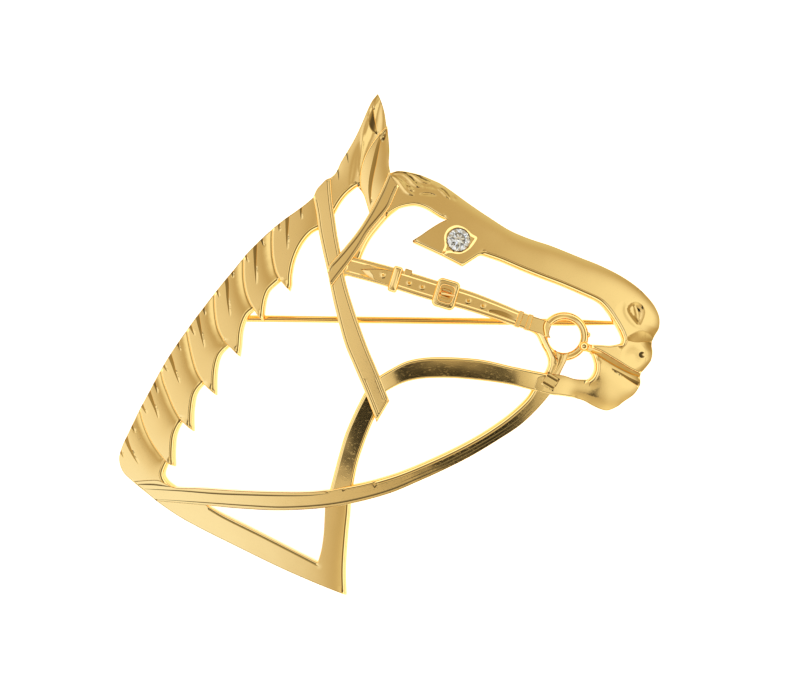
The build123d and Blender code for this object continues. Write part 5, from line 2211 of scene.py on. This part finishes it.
@dataclass(frozen=True)
class Tent:
    """Soft tent of light round the head, worked out from the direction alone.

    Its rings are colours at angles from the head's normal, in degrees. The shade is the dark
    camera stand, an upright oblong between two corners given as slopes.
    """

    turn: Matrix
    tree: bpy.types.NodeTree
    place: Socket
    rings: tuple = (
        (0, (0.56, 0.49, 0.37)), (8, (0.56, 0.49, 0.37)), (14, (0.55, 0.46, 0.32)),
        (22, (0.42, 0.34, 0.2)), (29, (0.13, 0.11, 0.08)), (38, (0.06, 0.055, 0.045)),
        (47, (0.55, 0.56, 0.55)), (58, (1.45, 1.5, 1.5)), (74, (1.6, 1.6, 1.6)),
        (84, (0.5, 0.4, 0.3)), (90, (0.4, 0.35, 0.3)), (100, (1.0, 1.0, 1.0)),
    )
    glows: tuple[Glow, ...] = (
        Glow((-0.42, -0.04), 0.33, 0.12, (1.0, 1.04, 1.12)),
        Glow((-0.15, -0.14), 0.085, 0.045, (1.0, 1.12, 1.4)),
        Glow((0.2, 0.02), 0.11, 0.07, (1.02, 1.06, 1.05)),
        Glow((0.14, 0.3), 0.1, 0.08, (0.72, 0.72, 0.6)),
        Glow((0.13, -0.22), 0.1, 0.07, (0.92, 0.9, 0.76)),
    )
    shade_from: Pair = (-0.034, -0.067)
    shade_to: Pair = (0.0706, -0.0072)
    shade_soft: Pair = (0.004, 0.003)
    shade_colour: tuple[float, float, float] = (0.014, 0.014, 0.013)

    def build(self) -> None:
        """Gives every direction its colour."""
        ramp = new_node(self.tree, "ShaderNodeValToRGB", {"Fac": self.share_from((0, 0))})
        elements = ramp.color_ramp.elements
        while len(elements) > 1:
            elements.remove(elements[-1])
        for index, (angle, colour) in enumerate(self.rings):
            element = elements.new(angle / 180) if index else elements[0]
            element.position = angle / 180
            element.color = (*colour, 1)
        colour = ramp.outputs["Color"]
        for glow in self.glows:
            share = self.faded(self.share_from(glow.at), (glow.radius + glow.soft) / math.pi,
                               (glow.radius - glow.soft) / math.pi)
            colour = self.laid_over(colour, share, glow.colour)
        shade = self.laid_over(colour, self.shade_share(), self.shade_colour)
        self.tree.links.new(shade, self.tree.nodes["Background"].inputs["Color"])

    def along(self, axis: Vector) -> Socket:
        """How far each direction runs along an axis that is one unit long."""
        values = {0: self.place, 1: axis}
        return new_node(self.tree, "ShaderNodeVectorMath", values, operation="DOT_PRODUCT").outputs[1]

    def worked_out(self, operation: str, *values: object) -> Socket:
        """One step of arithmetic on numbers or outputs."""
        inputs = dict(enumerate(values))
        return new_node(self.tree, "ShaderNodeMath", inputs, operation=operation).outputs[0]

    def faded(self, value: Socket, start: float, end: float) -> Socket:
        """Smooth rise of a value's effect.

        Args:
            value: the output that holds the value.
            start: the value where nothing of the effect is there.
            end: the value where all of it is.

        Returns:
            The output with the share.
        """
        values = {"Value": value, "From Min": start, "From Max": end}
        fade = new_node(self.tree, "ShaderNodeMapRange", values, interpolation_type="SMOOTHSTEP")
        return fade.outputs["Result"]

    def share_from(self, slope: Pair) -> Socket:
        """Angle from each direction to one beside the head's normal.

        Args:
            slope: how far the other direction leans from the normal, along columns and rows.

        Returns:
            The output with the angle, as a share of half a turn.
        """
        axis = self.turn @ Vector((*slope, 1)).normalized()
        angle = self.worked_out("ARCCOSINE", self.along(axis))
        return self.worked_out("DIVIDE", angle, math.pi)

    def shade_share(self) -> Socket:
        """How much of the dark camera stand shows in each direction.

        Returns:
            The output with the share.
        """
        shares = []
        for axis in (0, 1):
            across = self.along(self.turn.col[axis])
            for end, inward in ((self.shade_from[axis], 1), (self.shade_to[axis], -1)):
                soft = self.shade_soft[axis] * inward
                shares.append(self.faded(across, end - soft, end + soft))
        share = shares[0]
        for other in shares[1:]:
            share = self.worked_out("MULTIPLY", share, other)
        front = self.worked_out("MULTIPLY", share, self.along(self.turn.col[2]))
        front.node.use_clamp = True
        return front

    def laid_over(self, under: Socket, share: Socket, colour: tuple) -> Socket:
        """Lays a colour over another.

        Args:
            under: output with the colour so far.
            share: output that says how much of the new colour shows.
            colour: the new colour.

        Returns:
            The output with both.
        """
        mix = new_node(self.tree, "ShaderNodeMix", {"Factor": share}, data_type="RGBA")
        self.tree.links.new(under, next(s for s in mix.inputs if s.identifier == "A_Color"))
        next(s for s in mix.inputs if s.identifier == "B_Color").default_value = (*colour, 1)
        return next(s for s in mix.outputs if s.identifier == "Result_Color")


@dataclass(frozen=True)
class Studio:
    """Pale floor, soft tent of light and the camera over the head."""

    layout: Layout
    distance: float = 215.0
    sensor: float = 36.0
    clip_start: float = 0.01
    face_level: float = 1.45
    floor_half: float = 1.2

    def build(self) -> None:
        """Lays the floor, lights the tent and sets the camera."""
        self.floor()
        self.light()
        self.camera()

    def floor(self) -> None:
        """The floor under the head."""
        half = self.floor_half
        corners = np.array([(-half, -half, 0), (half, -half, 0), (half, half, 0), (-half, half, 0)])
        piece = Solid("studio_floor", corners, [(0, 1, 2, 3)]).object()
        piece.data.materials.append(PaleFloor().material())
        log.info("studio_floor: stage")

    def camera(self) -> None:
        """The camera square to the head."""
        aim = Vector((*self.layout.spot(CAMERA_AIM), self.face_level))
        turn = self.layout.turn
        spot = turn @ (aim + Vector((0, 0, self.distance)))
        data = bpy.data.cameras.new("studio_camera")
        data.sensor_width = self.sensor
        data.lens = self.sensor * self.distance / (PICTURE_SIZE[0] * self.layout.scale)
        data.clip_start = self.clip_start
        shown = bpy.data.objects.new("studio_camera", data)
        bpy.context.scene.collection.objects.link(shown)
        shown.matrix_world = Matrix.Translation(spot) @ turn.to_3x3().normalized().to_4x4()
        bpy.context.scene.camera = shown

    def light(self) -> None:
        """The tent all round."""
        scene = bpy.context.scene
        scene.view_settings.view_transform = "Standard"
        world = bpy.data.worlds.new("studio_tent")
        scene.world = world
        world.use_nodes = True
        place = new_node(world.node_tree, "ShaderNodeTexCoord", {}).outputs["Generated"]
        Tent(self.layout.turn.to_3x3().normalized(), world.node_tree, place).build()


def main() -> None:
    """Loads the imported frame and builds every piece."""
    logging.basicConfig(level=logging.INFO, format="%(name)s: %(message)s")
    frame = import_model()
    layout = Layout.from_frame(frame)
    HorseHead(layout, PolishedGold()).build()
    EyeStone(layout, ClearStone()).build()
    # The stem and rivet get a darker, more orange copy of the head's gold with a duller polish. The darker
    # colour is painted shade and painted gold-on-gold reflection for parts that lie under the head.
    pin_gold = PolishedGold("pin_gold", colour=(1.0, 0.60, 0.18), roughness=0.14)
    Pin(frame["nodes"], pin_gold).dress()
    Studio(layout).build()


if __name__ == "__main__":
    main()
